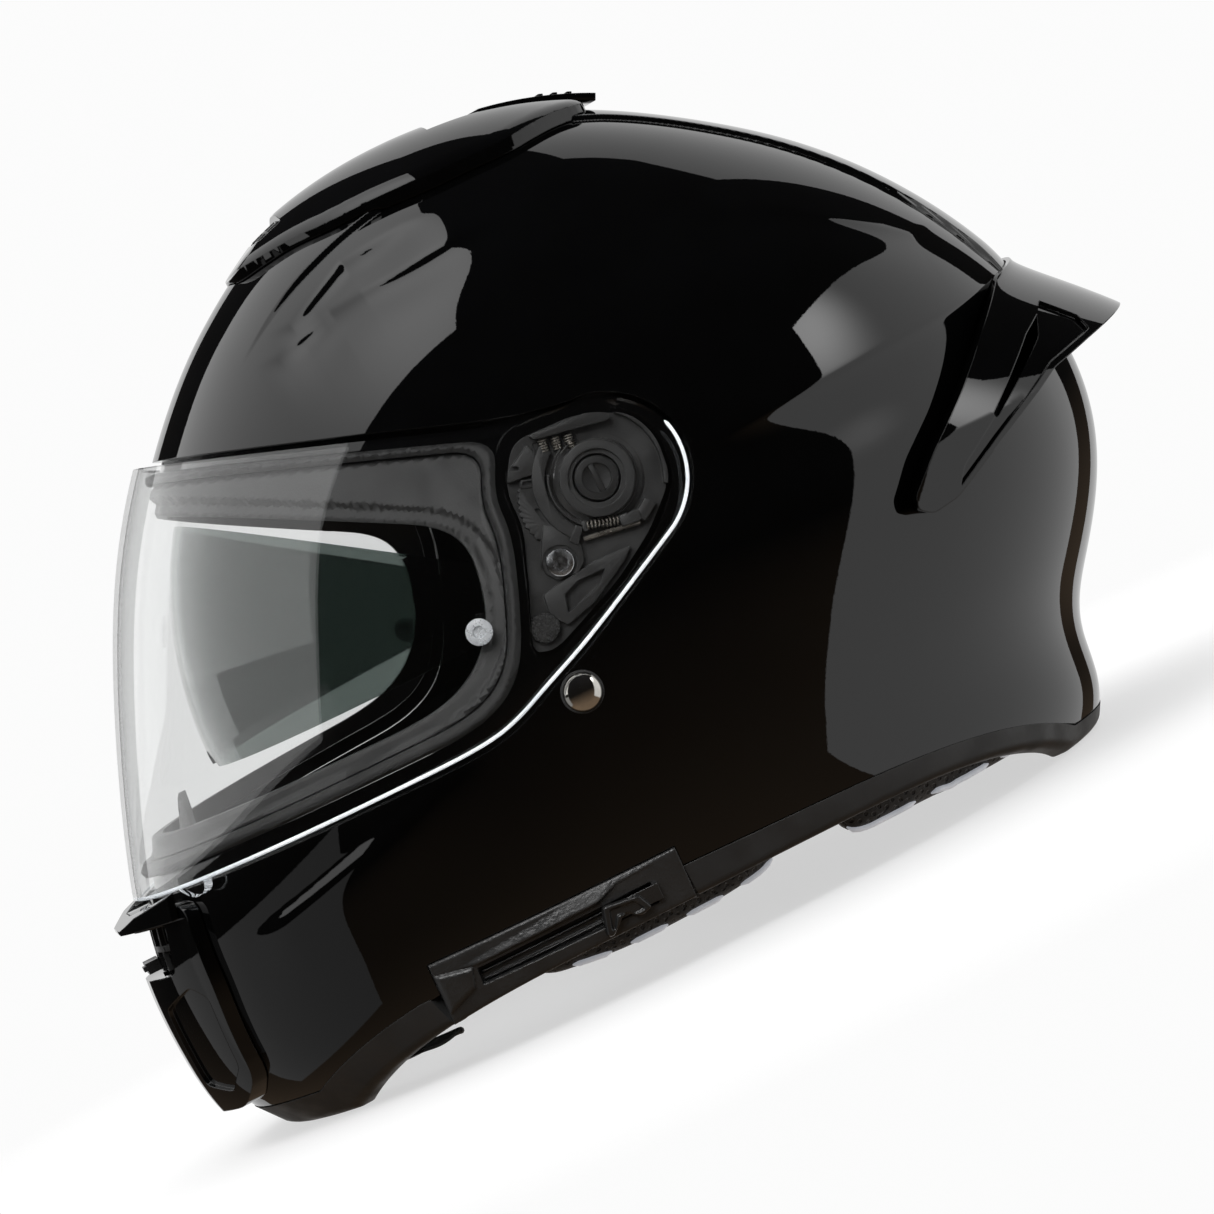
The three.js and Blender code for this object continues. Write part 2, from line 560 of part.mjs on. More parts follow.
const strapBand = (from, to, thickness, width) => {
  const curve = new THREE.CatmullRomCurve3(STRAP_LINE.map(([x, z]) => new THREE.Vector3(x, 0, z)));
  const steps = 18;
  const edge = (sign) => Array.from({ length: steps + 1 }, (_, i) => {
    const u = from + ((to - from) * i) / steps;
    const p = curve.getPointAt(u);
    const t = curve.getTangentAt(u);
    return [p.x - (sign * t.z * thickness) / 2, p.z + (sign * t.x * thickness) / 2];
  });
  return alongY([...edge(1), ...edge(-1).reverse()], STRAP_Y - width / 2, STRAP_Y + width / 2);
};
const makeStrap = (to) => strapBand(STRAP.from, to, STRAP_THICKNESS, STRAP_WIDTH);
const makeStrapPad = () => strapBand(STRAP_PAD.from, STRAP_PAD.to, STRAP_PAD.thickness, STRAP_PAD.width)
  .subtract(strapBand(0.4, 0.9, STRAP_THICKNESS + 0.8, STRAP_WIDTH + 0.8));
const makeStrapSlit = () => strapBand(0, STRAP_PAD.from + 0.02, SLIT.thickness, SLIT.width)
  .add(strapBand(STRAP_PAD.from - 0.02, 1, PAD_SLIT.thickness, PAD_SLIT.width));

// ---- Pads and chin curtain ------------------------------------------------------------------
const PAD_DEPTH = TRIM_DEPTH + 1.2; // from the outer surface to the outer face of the lower pads
const CROWN_SHARE = LINER_SHARE - 0.005;
const CROWN_FACE = [
  [-220, -20], [24, -20], [24, 60], [24, 96], [2, 112], [-10, 152], [-52, 164], [-112, 200], [-220, 262],
];
const CROWN_BOTTOM = 52;
const NECK_ROLL = [[20, 8], [96, 4], [140, 4], [140, 33], [20, 33]];
const CHEEK = [
  [-86, 24], [-80, 11], [-50, 8], [-12, 9], [8, 14], [12, 40], [12, 80], [-8, 96], [-48, 92],
  [-64, 84], [-86, 80],
];
const CHEEK_FACE = [[66, 4], [72, 4], [125, 4], [125, 100], [72, 100], [64, 60]]; // [x, z]
const ANCHOR_ROOM = { x: 103.5, halfWidth: 14, bottom: 74, top: 110 };
const CURTAIN = { halfWidth: 90, rear: -104, bottom: 7, top: 9, neck: [62, 52], neckY: -86 };
const DEFLECTOR = [[0, 108.5], [12, 104], [26, 91], [44, 88], [46, 80]]; // [x, z]
const DEFLECTOR_SKIN = { outer: -14, inner: -16.6, bottom: 80.4 };

const makeCrownPad = () => scaledDome(CROWN_SHARE).subtract(scaledDome(PAD_SHARE))
  .subtract(headWay)
  .subtract(alongX(CROWN_FACE))
  .subtract(slab(BELOW, CROWN_BOTTOM));

const makeNeckRoll = () => offsetDome(-PAD_DEPTH)
  .subtract(ovalPillar(NECK_OPENING.x, NECK_OPENING.y, BELOW, -BELOW, 0))
  .intersect(alongX(NECK_ROLL));

const makeCheekPad = () => {
  const { x, halfWidth, bottom, top } = ANCHOR_ROOM;
  return offsetDome(-PAD_DEPTH)
    .intersect(alongX(CHEEK, 40, 130))
    .intersect(alongY(CHEEK_FACE, -150, 60))
    .subtract(makeStrapSlit())
    .subtract(block(x, FAR, STRAP_Y - halfWidth, STRAP_Y + halfWidth, bottom, top));
};

const makeChinCurtain = () => {
  const { halfWidth, rear, bottom, top, neck, neckY } = CURTAIN;
  return offsetDome(-TRIM_DEPTH - 1)
    .intersect(block(-halfWidth, halfWidth, -FAR / 2, rear, bottom, top))
    .subtract(ovalPillar(...neck, -30, 30, neckY));
};

const makeBreathDeflector = () => {
  const { outer: front, inner: back, bottom } = DEFLECTOR_SKIN;
  return offsetDome(front).subtract(offsetDome(back))
    .intersect(alongY(bothSides(DEFLECTOR), -FAR / 2, -60))
    .subtract(slab(0, bottom));
};

// ---- Strap hardware -------------------------------------------------------------------------
const RIVET = { y: STRAP_Y, z: 87, radius: 6.2, height: 3.1, gap: 0.5 };
const ANCHOR = { outer: -6.2, inner: -8.6, width: 16, height: 14 };
const BUCKLE = { x: 2, halfWidth: 17, halfDepth: 12.5, bottom: 23.5, top: 31.5 };
const TONGUE_SLOT = { end: 0.5, halfDepth: 11.6, bottom: 26.1, top: 29.1 };
const LEVER_WELL = { start: BUCKLE.x - 12, halfDepth: 9, top: 25 };
const LEVER_HALF_DEPTH = 8.4;

const makeRivet = () => {
  const steps = 5;
  const cap = Array.from({ length: steps + 1 }, (_, i) => {
    const angle = (i * 90 * DEG) / steps;
    return new THREE.Vector2(RIVET.radius * Math.cos(angle), RIVET.height * Math.sin(angle));
  });
  cap[steps].x = 0;
  const head = new THREE.LatheGeometry([new THREE.Vector2(0, 0), ...cap], 24).rotateZ(-90 * DEG);
  return seated(head.translate(RIVET.gap, 0, 0), RIVET.y, RIVET.z);
};

const makeStrapAnchor = () => seated(
  new THREE.BoxGeometry(ANCHOR.outer - ANCHOR.inner, ANCHOR.width, ANCHOR.height)
    .translate((ANCHOR.outer + ANCHOR.inner) / 2, 0, 0),
  RIVET.y, RIVET.z,
);

// A block about the strap's middle line.
const strapBlock = (x0, x1, halfDepth, z0, z1) =>
  block(x0, x1, STRAP_Y - halfDepth, STRAP_Y + halfDepth, z0, z1);

const makeBuckleBody = () => {
  const { x, halfWidth, halfDepth, bottom, top } = BUCKLE;
  return strapBlock(x - halfWidth, x + halfWidth, halfDepth, bottom, top)
    .subtract(strapBand(0, 0.99, STRAP_THICKNESS + 1.2, STRAP_WIDTH + 1))
    .subtract(strapBlock(-FAR, TONGUE_SLOT.end, TONGUE_SLOT.halfDepth, TONGUE_SLOT.bottom, TONGUE_SLOT.top))
    .subtract(strapBlock(LEVER_WELL.start, FAR, LEVER_WELL.halfDepth, 0, LEVER_WELL.top));
};

const makeBuckleLever = () => strapBlock(BUCKLE.x - 11, BUCKLE.x + 16, LEVER_HALF_DEPTH, 22.4, 24.4)
  .add(strapBlock(BUCKLE.x + 15, BUCKLE.x + 24, LEVER_HALF_DEPTH, 21.6, 23.8));

// ---- Side covers and sun visor slider -------------------------------------------------------
const COVER_PROUD = 1.2;
const RAIL = { front: -94, rear: -34, z: 24 };
const CHANNEL = { length: 62, height: 6.8, floor: -2, past: 20, back: -1 };
const SLIDER = { length: 16, height: 6, bottom: -1.6, top: 5.4, back: 1 };
const SLIDER_GRIP = { length: 6, height: 11, bottom: 5.2, top: 7.6, back: 1 };

// A block that runs along the rail; bottom and top are measured outward from the surface.
const railPiece = ({ length, height, bottom, top, back }) => {
  const ends = [RAIL.front, RAIL.rear].map((y) => new THREE.Vector3(halfWidthAt(y, RAIL.z), y, RAIL.z));
  const turn = Math.atan2(ends[1].x - ends[0].x, ends[1].y - ends[0].y);
  const middle = ends[0].clone().lerp(ends[1], 0.5);
  const shift = (ends[0].distanceTo(ends[1]) - length) / 2 - back;
  const piece = new THREE.BoxGeometry(top - bottom, length, height).translate((bottom + top) / 2, shift, 0);
  return solidOf(piece.rotateZ(-turn).translate(middle.x, middle.y, middle.z));
};

const makeSideCover = () => offsetDome(COVER_PROUD).subtract(offsetDome(-TRIM_DEPTH))
  .intersect(alongX(between(rimHeight, () => COVER_TOP, COVER_FRONT + GAP, COVER_REAR - GAP), 0, FAR / 2));

// The left cover has a channel for the slider that lowers the sun visor.
const makeSliderCover = () => makeSideCover()
  .subtract(railPiece({ ...CHANNEL, bottom: CHANNEL.floor, top: CHANNEL.past }));

const makeSunVisorSlider = () => railPiece(SLIDER).add(railPiece(SLIDER_GRIP));

// ---- Top vent -------------------------------------------------------------------------------
const TOP_VENT = [
  [0, -63], [20, -61], [30, -52], [44, -30], [50, 0], [50, 28], [44, 40], [30, 58],
];
const VENT_RISE = 5.2;
const VENT_NOSE = [[-80, 232], [-63, 241], [-32, 258.5], [-20, 300], [-90, 300]]; // [y, z]
const INTAKE = { halfWidth: 22, front: -50, rear: -41, floor: 1.5, grille: 1.7 };
const SLIDER_ROOM = { halfWidth: 18, front: 13, rear: 90, floor: 1.6 };
const SLIDER_PATH = { y: 7, z: 129, inner: 125.6, outer: 128, from: 63.5, to: 83, halfWidth: 17 };
const LOUVRE = { spacing: 8, halfWidth: 0.8 };
const OVER_CROWN = [230, 262]; // a height range that spans the vent

const topIntake = (shrink, floor) => block(
  shrink - INTAKE.halfWidth, INTAKE.halfWidth - shrink, INTAKE.front + shrink, INTAKE.rear - shrink,
  ...OVER_CROWN,
).subtract(offsetDome(floor));

const makeTopVent = () => {
  const { halfWidth, front, rear, floor } = SLIDER_ROOM;
  const channel = block(-halfWidth, halfWidth, front, rear, 220, 300).subtract(offsetDome(floor));
  return offsetDome(VENT_RISE).subtract(offsetDome(GAP))
    .intersect(alongZ(bothSides(TOP_VENT), 180, 300))
    .subtract(alongX(VENT_NOSE))
    .subtract(channel)
    .subtract(topIntake(0, INTAKE.floor));
};

const makeTopVentSlider = () => {
  const { y, z, inner: low, outer: high, from, to, halfWidth } = SLIDER_PATH;
  const at = (radius, angle) => [y + radius * Math.cos(angle * DEG), z + radius * Math.sin(angle * DEG)];
  const steps = 5;
  const angles = Array.from({ length: steps + 1 }, (_, i) => from + ((to - from) * i) / steps);
  const outside = angles.map((angle) => at(high, angle));
  const inside = angles.map((angle) => at(low, angle)).reverse();
  return alongX([...outside, ...inside], -halfWidth, halfWidth);
};

const makeTopVentGrille = () => {
  const { spacing, halfWidth } = LOUVRE;
  let grille = block(-30, 30, -46, -45, ...OVER_CROWN);
  for (let i = -2; i <= 2; i++) {
    const x = i * spacing;
    grille = grille.add(block(x - halfWidth, x + halfWidth, -60, -30, ...OVER_CROWN));
  }
  return grille.intersect(topIntake(GAP, INTAKE.floor + GAP))
    .intersect(offsetDome(INTAKE.floor + INTAKE.grille));
};

// ---- Chin vent ------------------------------------------------------------------------------
const CHIN_VENT = [[0, 14], [30, 14], [44, 22], [50, 52], [50, 79], [0, 81]]; // [x, z]
const CHIN_RISE = 4.6;
const KEEL = { rise: 3.4, turn: 16 * DEG }; // the ridge down the middle
const MOUTH = { halfWidth: 34, bottom: 60, top: 75 };
const MOUTH_MIDDLE = (MOUTH.bottom + MOUTH.top) / 2;
const BROW = { rise: 15, fall: 10, turn: 22 * DEG, halfWidth: 46 };
const BROW_WEDGE = [
  [-LENGTH / 2, 77], [-LENGTH / 2, 78.2], [-162, 83.2], [-150, 83.2], [-150, 75.6], [-168, 75.6],
];
const CHIN_RIBS = { count: 6, first: -27.5, spacing: 11, half: 0.9, outer: 2 };

const chinVentOuter = dome((turn, rise) => {
  const keel = KEEL.rise * (1 - smooth(0, KEEL.turn, turn));
  return outerRadius(turn, rise) + CHIN_RISE + keel;
}, ...GRID);
const acrossChin = (x0, x1, z0, z1) => block(x0, x1, -FAR / 2, -100, z0, z1);

const makeChinVentHousing = () => chinVentOuter.subtract(offsetDome(GAP))
  .intersect(alongY(bothSides(CHIN_VENT), -FAR / 2, -100))
  .subtract(acrossChin(-MOUTH.halfWidth, MOUTH.halfWidth, MOUTH.bottom, MOUTH.top))
  .subtract(block(-FAR, FAR, -FAR, -LENGTH / 2, 0, 200));

const makeChinVentLip = () => {
  const { rise: height, fall, turn: reach, halfWidth } = BROW;
  const brow = dome(
    (turn, rise) => outerRadius(turn, rise) + height - fall * smooth(0, reach, turn), ...GRID,
  );
  return brow.subtract(chinVentOuter.add(offsetDome(GAP + 0.4)))
    .intersect(alongX(BROW_WEDGE, -halfWidth, halfWidth));
};

const makeChinVentGrille = () => {
  const { count, first, spacing, half, outer: front } = CHIN_RIBS;
  let grille = acrossChin(-30, 30, MOUTH_MIDDLE - half, MOUTH_MIDDLE + half);
  for (let i = 0; i < count; i++) {
    const x = first + i * spacing;
    grille = grille.add(acrossChin(x - half, x + half, MOUTH.bottom + 0.5, MOUTH.top - 0.5));
  }
  return grille.intersect(offsetDome(front).subtract(offsetDome(GAP + 0.2)));
};

const makeChinVentSlider = () => block(-7, 7, -178.5, -174, MOUTH_MIDDLE - 6, MOUTH_MIDDLE - 2.4)
  .add(block(-3, 3, -179.4, -176, MOUTH_MIDDLE - 5, MOUTH_MIDDLE - 3.4));

// ---- Rear spoiler ---------------------------------------------------------------------------
const SPOILER = [
  [161, 142], [144, 139.5], [128, 128.5], [111, 115.5], [94, 103.5], [83, 94], [82, 90], [86, 87],
  [95, 88], [115, 97], [142, 108.5], [158, 111], [190, 115], [190, 142],
];
const SPOILER_SLOT = [[148, 124.5], [143.5, 118.5], [117, 103.5], [116, 105], [140, 121]];
const WING = {
  rise: 3, kick: 17, kickFrom: 9 * DEG, kickPower: 1.3, kickLimit: 1.4, from: 112 * DEG, to: 176 * DEG,
};
const WING_GRID = [72, 60];

// The wing kicks outward below kickFrom, and more so towards the middle of the back.
const wingRadius = (turn, rise) => {
  const middle = smooth(WING.from, WING.to, turn);
  const below = THREE.MathUtils.clamp((WING.kickFrom - rise) / WING.kickFrom, 0, WING.kickLimit);
  return outerRadius(turn, rise) + WING.rise + WING.kick * middle * below ** WING.kickPower;
};

const makeSpoiler = () => dome(wingRadius, ...WING_GRID)
  .subtract(offsetDome(GAP + 0.2))
  .intersect(alongX(SPOILER))
  .subtract(alongX(SPOILER_SLOT))
  .subtract(block(-FAR, FAR, LENGTH / 2, FAR, 0, FAR));

// ---- Assembly -------------------------------------------------------------------------------
const helmet = new THREE.Group();
helmet.name = "motorcycle_helmet";
const place = (name, solid, look) => {
  const mesh = new THREE.Mesh(geometryOf(solid), look);
  mesh.name = name;
  helmet.add(mesh);
};
const placePair = (name, solid, look) => {
  place(`${name}_left`, solid, look);
  place(`${name}_right`, mirrored(solid), look);
};

const placeShell = () => {
  place("outer_shell", makeShell(), GLOSS_BLACK);
  place("impact_liner", makeImpactLiner(), FOAM_WHITE);
  place("chin_liner", makeChinLiner(), FOAM_WHITE);
  place("edge_trim_front", makeRimBand(-FAR / 2, COVER_FRONT - GAP), RUBBER);
  place("edge_trim_rear", makeRimBand(COVER_REAR + GAP, FAR / 2), RUBBER);
  place("side_cover_left", makeSliderCover(), SATIN_BLACK);
  place("side_cover_right", mirrored(makeSideCover()), SATIN_BLACK);
  place("sun_visor_slider", makeSunVisorSlider(), SATIN_BLACK);
};

const placeVisor = () => {
  place("eyeport_frame", makeEyeportFrame(), SATIN_BLACK);
  place("eyeport_seal", makeEyeportSeal(), RUBBER);
  place("visor", makeVisor(), CLEAR);
  placePair("antifog_pin", makeAntifogPin(), CLEAR);
  placePair("base_plate", makeBasePlate(), SATIN_BLACK);
  placePair("pivot_screw", makePivotScrew(), SATIN_BLACK);
  placePair("plate_screw", makePlateScrew(), STEEL);
  placePair("detent_pad", makeDetentPad(), SATIN_BLACK);
  placePair("latch_arm", makeLatchArm(), SATIN_BLACK);
  placePair("latch_spring", makeLatchSpring(), STEEL);
  place("sun_visor", makeSunVisor(), TINT);
  placePair("sun_visor_screw", makeSunScrew(), STEEL);
};

const placeVents = () => {
  place("top_vent_panel", makeTopVent(), GLOSS_BLACK);
  place("top_vent_slider", makeTopVentSlider(), GLOSS_BLACK);
  place("top_vent_grille", makeTopVentGrille(), SATIN_BLACK);
  place("chin_vent_housing", makeChinVentHousing(), GLOSS_BLACK);
  place("chin_vent_lip", makeChinVentLip(), GLOSS_BLACK);
  place("chin_vent_grille", makeChinVentGrille(), SATIN_BLACK);
  place("chin_vent_slider", makeChinVentSlider(), SATIN_BLACK);
  place("rear_spoiler", makeSpoiler(), GLOSS_BLACK);
};

const placeLining = () => {
  place("breath_deflector", makeBreathDeflector(), RUBBER);
  place("chin_curtain", makeChinCurtain(), FABRIC);
  placePair("cheek_pad", makeCheekPad(), FABRIC);
  place("neck_roll", makeNeckRoll(), FABRIC);
  place("crown_pad", makeCrownPad(), FABRIC);
};

const placeStrap = () => {
  place("strap_left", makeStrap(STRAP.leftTo), FABRIC);
  place("strap_right", mirrored(makeStrap(STRAP.rightTo)), FABRIC);
  placePair("strap_pad", makeStrapPad(), FABRIC);
  placePair("strap_anchor", makeStrapAnchor(), STEEL);
  placePair("strap_rivet", makeRivet(), STEEL);
  place("buckle_body", makeBuckleBody(), SATIN_BLACK);
  place("buckle_lever", makeBuckleLever(), SATIN_BLACK);
};

placeShell();
placeVisor();
placeVents();
placeLining();
placeStrap();

export default helmet;
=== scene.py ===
"""A full-face motorcycle helmet in gloss black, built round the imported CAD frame.

Lengths in the shape code are millimetres in the row frame; meshes are made in metres.
"""
import json
import math

import bmesh
import bpy
import numpy as np
from mathutils import Matrix, Vector
from mathutils.bvhtree import BVHTree

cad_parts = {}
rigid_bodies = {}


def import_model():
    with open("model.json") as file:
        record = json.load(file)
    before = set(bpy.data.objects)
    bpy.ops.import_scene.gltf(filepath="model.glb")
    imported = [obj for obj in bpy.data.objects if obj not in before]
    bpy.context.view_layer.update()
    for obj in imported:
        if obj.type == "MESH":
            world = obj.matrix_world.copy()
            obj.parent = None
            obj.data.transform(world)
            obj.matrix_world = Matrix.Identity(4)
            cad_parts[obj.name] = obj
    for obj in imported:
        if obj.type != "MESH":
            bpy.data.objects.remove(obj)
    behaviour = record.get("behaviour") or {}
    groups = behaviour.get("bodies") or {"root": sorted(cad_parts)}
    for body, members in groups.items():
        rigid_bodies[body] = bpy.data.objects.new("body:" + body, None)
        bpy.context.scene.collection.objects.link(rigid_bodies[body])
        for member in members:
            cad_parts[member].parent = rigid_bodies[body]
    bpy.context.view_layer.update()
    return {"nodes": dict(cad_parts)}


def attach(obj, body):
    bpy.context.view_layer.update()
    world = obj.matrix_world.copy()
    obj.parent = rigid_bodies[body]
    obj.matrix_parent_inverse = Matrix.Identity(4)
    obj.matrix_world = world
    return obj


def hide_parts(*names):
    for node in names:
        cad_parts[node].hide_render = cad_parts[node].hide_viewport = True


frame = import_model()
scene = bpy.context.scene

MM = 0.001
DEG = math.pi / 180
ROOT = "helmet"

# ---- Driving dimensions, as in the CAD part ------------------------------------------------
CENTRE_HEIGHT = 115
CENTRE_PROFILE = [
    (-156, -2), (-167, 10), (-173, 35), (-172, 65), (-163, 98), (-148, 135), (-128, 174),
    (-100, 210), (-60, 241), (0, 253.5), (42, 246.5), (84, 224.5), (114, 201.5), (140, 171),
    (157, 138), (163, 112), (158, 78), (141, 50), (128.5, 28), (126, 12), (118, -3),
]
SIDE_PROFILE = [
    (100, -3), (107, 12), (115.5, 40), (120.5, 75), (122, 100), (119, 141), (108, 176),
    (86, 208), (57, 234), (28, 248.5), (0, 253.5),
]
FULLNESS = 0.035
SHELL = 5
RECESS = 2.8
PIVOT = (0, 141)
VISOR_GAP, VISOR_WALL, ARM_OUTER = 2.8, 2.4, 125.2
PLATE_TOP, POD_FLOOR, HUB_RADIUS, HUB_TOP = 113.8, 112, 11.4, 117.6
SUN_PIVOT, SUN_RADIUS, SUN_HALF_WIDTH, SUN_WALL = (-10, 112), 122, 97, 2
RIM_ARCH, CHIN_FLAT, NAPE_FLAT, TRIM_DEPTH = 17, -148, 106, 7
COVER_FRONT, COVER_REAR, COVER_TOP = -107, -27, 33.5
STRAP_Y = -32
GAP = 0.3
FAR = 400

VISOR_TOP = [(-1, 164), (-21, 168), (-110, 201), (-220, 242)]
VISOR_BOTTOM = [(-220, 83), (-64, 85.5), (-52, 88.5), (-41, 93.5), (-24.5, 100), (-7.5, 106.5)]
EYEPORT = [
    (-220, 98), (-78, 99.5), (-66, 101.5), (-56, 106.5), (-47.5, 116), (-43.5, 128), (-42, 140),
    (-47.5, 149), (-112, 185), (-220, 246),
]
FRAME_OUTER = [
    (-220, 91.5), (-67, 94.5), (-56, 97.5), (-48, 104), (-41.5, 116), (-34, 137), (-33.5, 149),
    (-26, 163), (-110, 195), (-220, 236),
]
SEAL_OUTER = [
    (-220, 87.5), (-66, 90), (-53, 94), (-44, 102), (-37, 117), (-29.5, 137), (-29, 150),
    (-20.5, 164), (-110, 198.5), (-220, 240),
]
POD = [
    (-40.5, 102.5), (-34, 99.8), (-24, 103.5), (-7, 110), (9, 119.5), (21, 131), (22.5, 145),
    (18, 155), (4, 161.5), (-18, 162.5), (-26.2, 150.5), (-26.8, 137.5), (-34, 117.8),
]
POD_CENTRE, FACE_CENTRE = (-8, 132), (-70, 138)
SPOILER = [
    (161, 142), (144, 139.5), (128, 128.5), (111, 115.5), (94, 103.5), (83, 94), (82, 90),
    (86, 87), (95, 88), (115, 97), (142, 108.5), (158, 111), (190, 115), (190, 142),
]
SPOILER_SLOT = [(148, 124.5), (143.5, 118.5), (117, 103.5), (116, 105), (140, 121)]
TOP_VENT = [(0, -63), (20, -61), (30, -52), (44, -30), (50, 0), (50, 28), (44, 40), (30, 58)]
CHIN_VENT = [(0, 14), (30, 14), (44, 22), (50, 52), (50, 79), (0, 81)]


# ---- Outer surface -------------------------------------------------------------------------
def smooth(low, high, value):
    t = np.clip((np.asarray(value, float) - low) / (high - low), 0, 1)
    return t * t * (3 - 2 * t)


class Profile:
    """A natural cubic spline of distance from the drawing centre over the angle up from the face."""

    def __init__(self, points):
        polar = []
        for across, z in points:
            angle = math.atan2(z - CENTRE_HEIGHT, -across)
            if angle < -math.pi / 2:
                angle += 2 * math.pi
            polar.append((angle, math.hypot(across, z - CENTRE_HEIGHT)))
        self.a, self.r = np.array(polar).T
        count = len(polar)
        lhs, rhs = np.eye(count), np.zeros(count)
        for i in range(1, count - 1):
            before, after = self.a[i] - self.a[i - 1], self.a[i + 1] - self.a[i]
            lhs[i, i - 1:i + 2] = before / 6, (before + after) / 3, after / 6
            rhs[i] = (self.r[i + 1] - self.r[i]) / after - (self.r[i] - self.r[i - 1]) / before
        self.bends = np.linalg.solve(lhs, rhs)

    def __call__(self, angle):
        x = np.clip(angle, self.a[0], self.a[-1])
        i = np.clip(np.searchsorted(self.a, x) - 1, 0, len(self.a) - 2)
        step = self.a[i + 1] - self.a[i]
        p = (self.a[i + 1] - x) / step
        q = 1 - p
        curve = (p**3 - p) * self.bends[i] + (q**3 - q) * self.bends[i + 1]
        return p * self.r[i] + q * self.r[i + 1] + curve * step * step / 6


centre_profile = Profile(CENTRE_PROFILE)
side_profile = Profile([(-x, z) for x, z in SIDE_PROFILE] + SIDE_PROFILE[:-1][::-1])


def outer_radius(turn, rise):
    """Distance of the plain outer surface from the drawing centre, turned from the face and raised."""
    facing, sideways = np.cos(turn), np.sin(turn)
    middle = centre_profile(np.where(facing > 0, rise, math.pi - rise))
    ellipse = 1 / np.hypot(facing / middle, sideways / side_profile(rise))
    face = 1 - smooth(20 * DEG, 70 * DEG, rise)
    back = smooth(-30 * DEG, 0, rise) * (1 - smooth(50 * DEG, 85 * DEG, rise))
    return ellipse * (1 + FULLNESS * np.where(facing > 0, face, back) * np.sin(2 * turn) ** 2)


def direction(turn, rise):
    return np.stack([np.cos(rise) * np.sin(turn), -np.cos(rise) * np.cos(turn), np.sin(rise)], -1)


def along(values, line):
    xs, ys = zip(*sorted(line))
    return np.interp(values, xs, ys)


def groove(y, z, line, depth, width, fade):
    """Depth of a groove below a side-view line: sharp at the line and dying away under it."""
    ys = sorted(p[0] for p in line)
    soft = 0.45
    under = soft * np.logaddexp(0, (along(y, line) - z) / soft) / width
    ends = smooth(ys[0] - fade[0], ys[0] + fade[0], y) * (1 - smooth(ys[-1] - fade[1], ys[-1] + fade[1], y))
    return depth * under * np.exp(1 - under) * ends


BAND_HALF_WIDTH = [(-80, 52), (-40, 49), (0, 44), (30, 37), (60, 33), (100, 35), (150, 39)]
BAND_RISE = 1.5


def detail(turn, rise, radius):
    """How far the lacquered shell stands out from the plain surface: its band, darts and creases."""
    x, y, z = np.moveaxis(direction(turn, rise) * np.asarray(radius)[..., None], -1, 0)
    z = z + CENTRE_HEIGHT
    high = smooth(165, 200, z)
    edge = along(y, BAND_HALF_WIDTH)
    band = BAND_RISE * (1 - smooth(edge - 0.5, edge + 1.2, x)) * smooth(-75, -40, y) * smooth(128, 150, z)
    darts = groove(y, z, [(-56, 221), (-33.6, 231.3), (-13, 233)], 1.9, 4.2, (8, 14)) * high
    darts += groove(y, z, [(-64, 214), (-44.7, 221), (0, 222.5)], 1.5, 4.5, (8, 22)) * high
    rear = groove(y, z, [(48, 135.5), (100, 137), (175, 139)], 3.4, 13, (34, 2)) * smooth(20, 60, x)
    upper = groove(y, z, [(67.3, 197), (91, 187.2), (125, 163.5)], 0.7, 5, (30, 20))
    chin = groove(y, z, [(-148, 63), (-127, 69), (-82, 82.5)], -1.0, 7, (12, 20)) * smooth(60, 80, x)
    return band - darts - rear - upper - chin


def shell_radius(offset=0.0):
    def radius(turn, rise):
        plain = outer_radius(turn, rise)
        return plain + detail(turn, rise, plain) + offset
    return radius


def skin_radius(offset):
    return lambda turn, rise: outer_radius(turn, rise) + offset


def spherical(points):
    """(turn, rise, distance) of points round the drawing centre."""
    away = np.asarray(points, float) - (0, 0, CENTRE_HEIGHT)
    far = np.linalg.norm(away, axis=-1)
    turn = np.arctan2(np.abs(away[..., 0]), -away[..., 1])
    return turn, np.arcsin(np.clip(away[..., 2] / far, -1, 1)), far


def height_over(points, radius):
    turn, rise, far = spherical(points)
    return far - radius(turn, rise)


def slope_over(points, radius, step=0.35):
    sides = [
        height_over(points + step * axis, radius) - height_over(points - step * axis, radius)
        for axis in np.eye(3)
    ]
    slope = np.stack(sides, -1)
    return slope / np.linalg.norm(slope, axis=-1, keepdims=True)


def wall(turn, z, offset=0.0):
    """Distance from the helmet's axis of the offset surface at a height, by repeated substitution."""
    turn, z = np.broadcast_arrays(np.asarray(turn, float), np.asarray(z, float))
    reach = np.full(turn.shape, 110.0)
    for _ in range(30):
        rise = np.arctan2(z - CENTRE_HEIGHT, reach)
        full = outer_radius(np.abs(turn), rise) + offset
        reach = np.sqrt(np.maximum(full**2 - (z - CENTRE_HEIGHT) ** 2, 1))
    return reach


def half_width(y, z, offset=0.0):
    """Half-width of the offset surface at places in the side view."""
    y, z = np.broadcast_arrays(np.asarray(y, float), np.asarray(z, float))
    low, high = np.zeros(y.shape), np.full(y.shape, 160.0)
    for _ in range(40):
        x = (low + high) / 2
        inside = height_over(np.stack([x, y, z], -1), skin_radius(offset)) < 0
        low, high = np.where(inside, x, low), np.where(inside, high, x)
    return low if low.ndim else float(low)


# ---- Mesh helpers --------------------------------------------------------------------------
def new_object(name, points, faces):
    mesh = bpy.data.meshes.new(name)
    mesh.from_pydata(np.asarray(points, float) * MM, [], faces)
    obj = bpy.data.objects.new(name, mesh)
    scene.collection.objects.link(obj)
    return obj


def recalculated(obj):
    made = bmesh.new()
    made.from_mesh(obj.data)
    bmesh.ops.remove_doubles(made, verts=made.verts, dist=1e-7)
    bmesh.ops.recalc_face_normals(made, faces=made.faces)
    made.to_mesh(obj.data)
    made.free()
    return obj


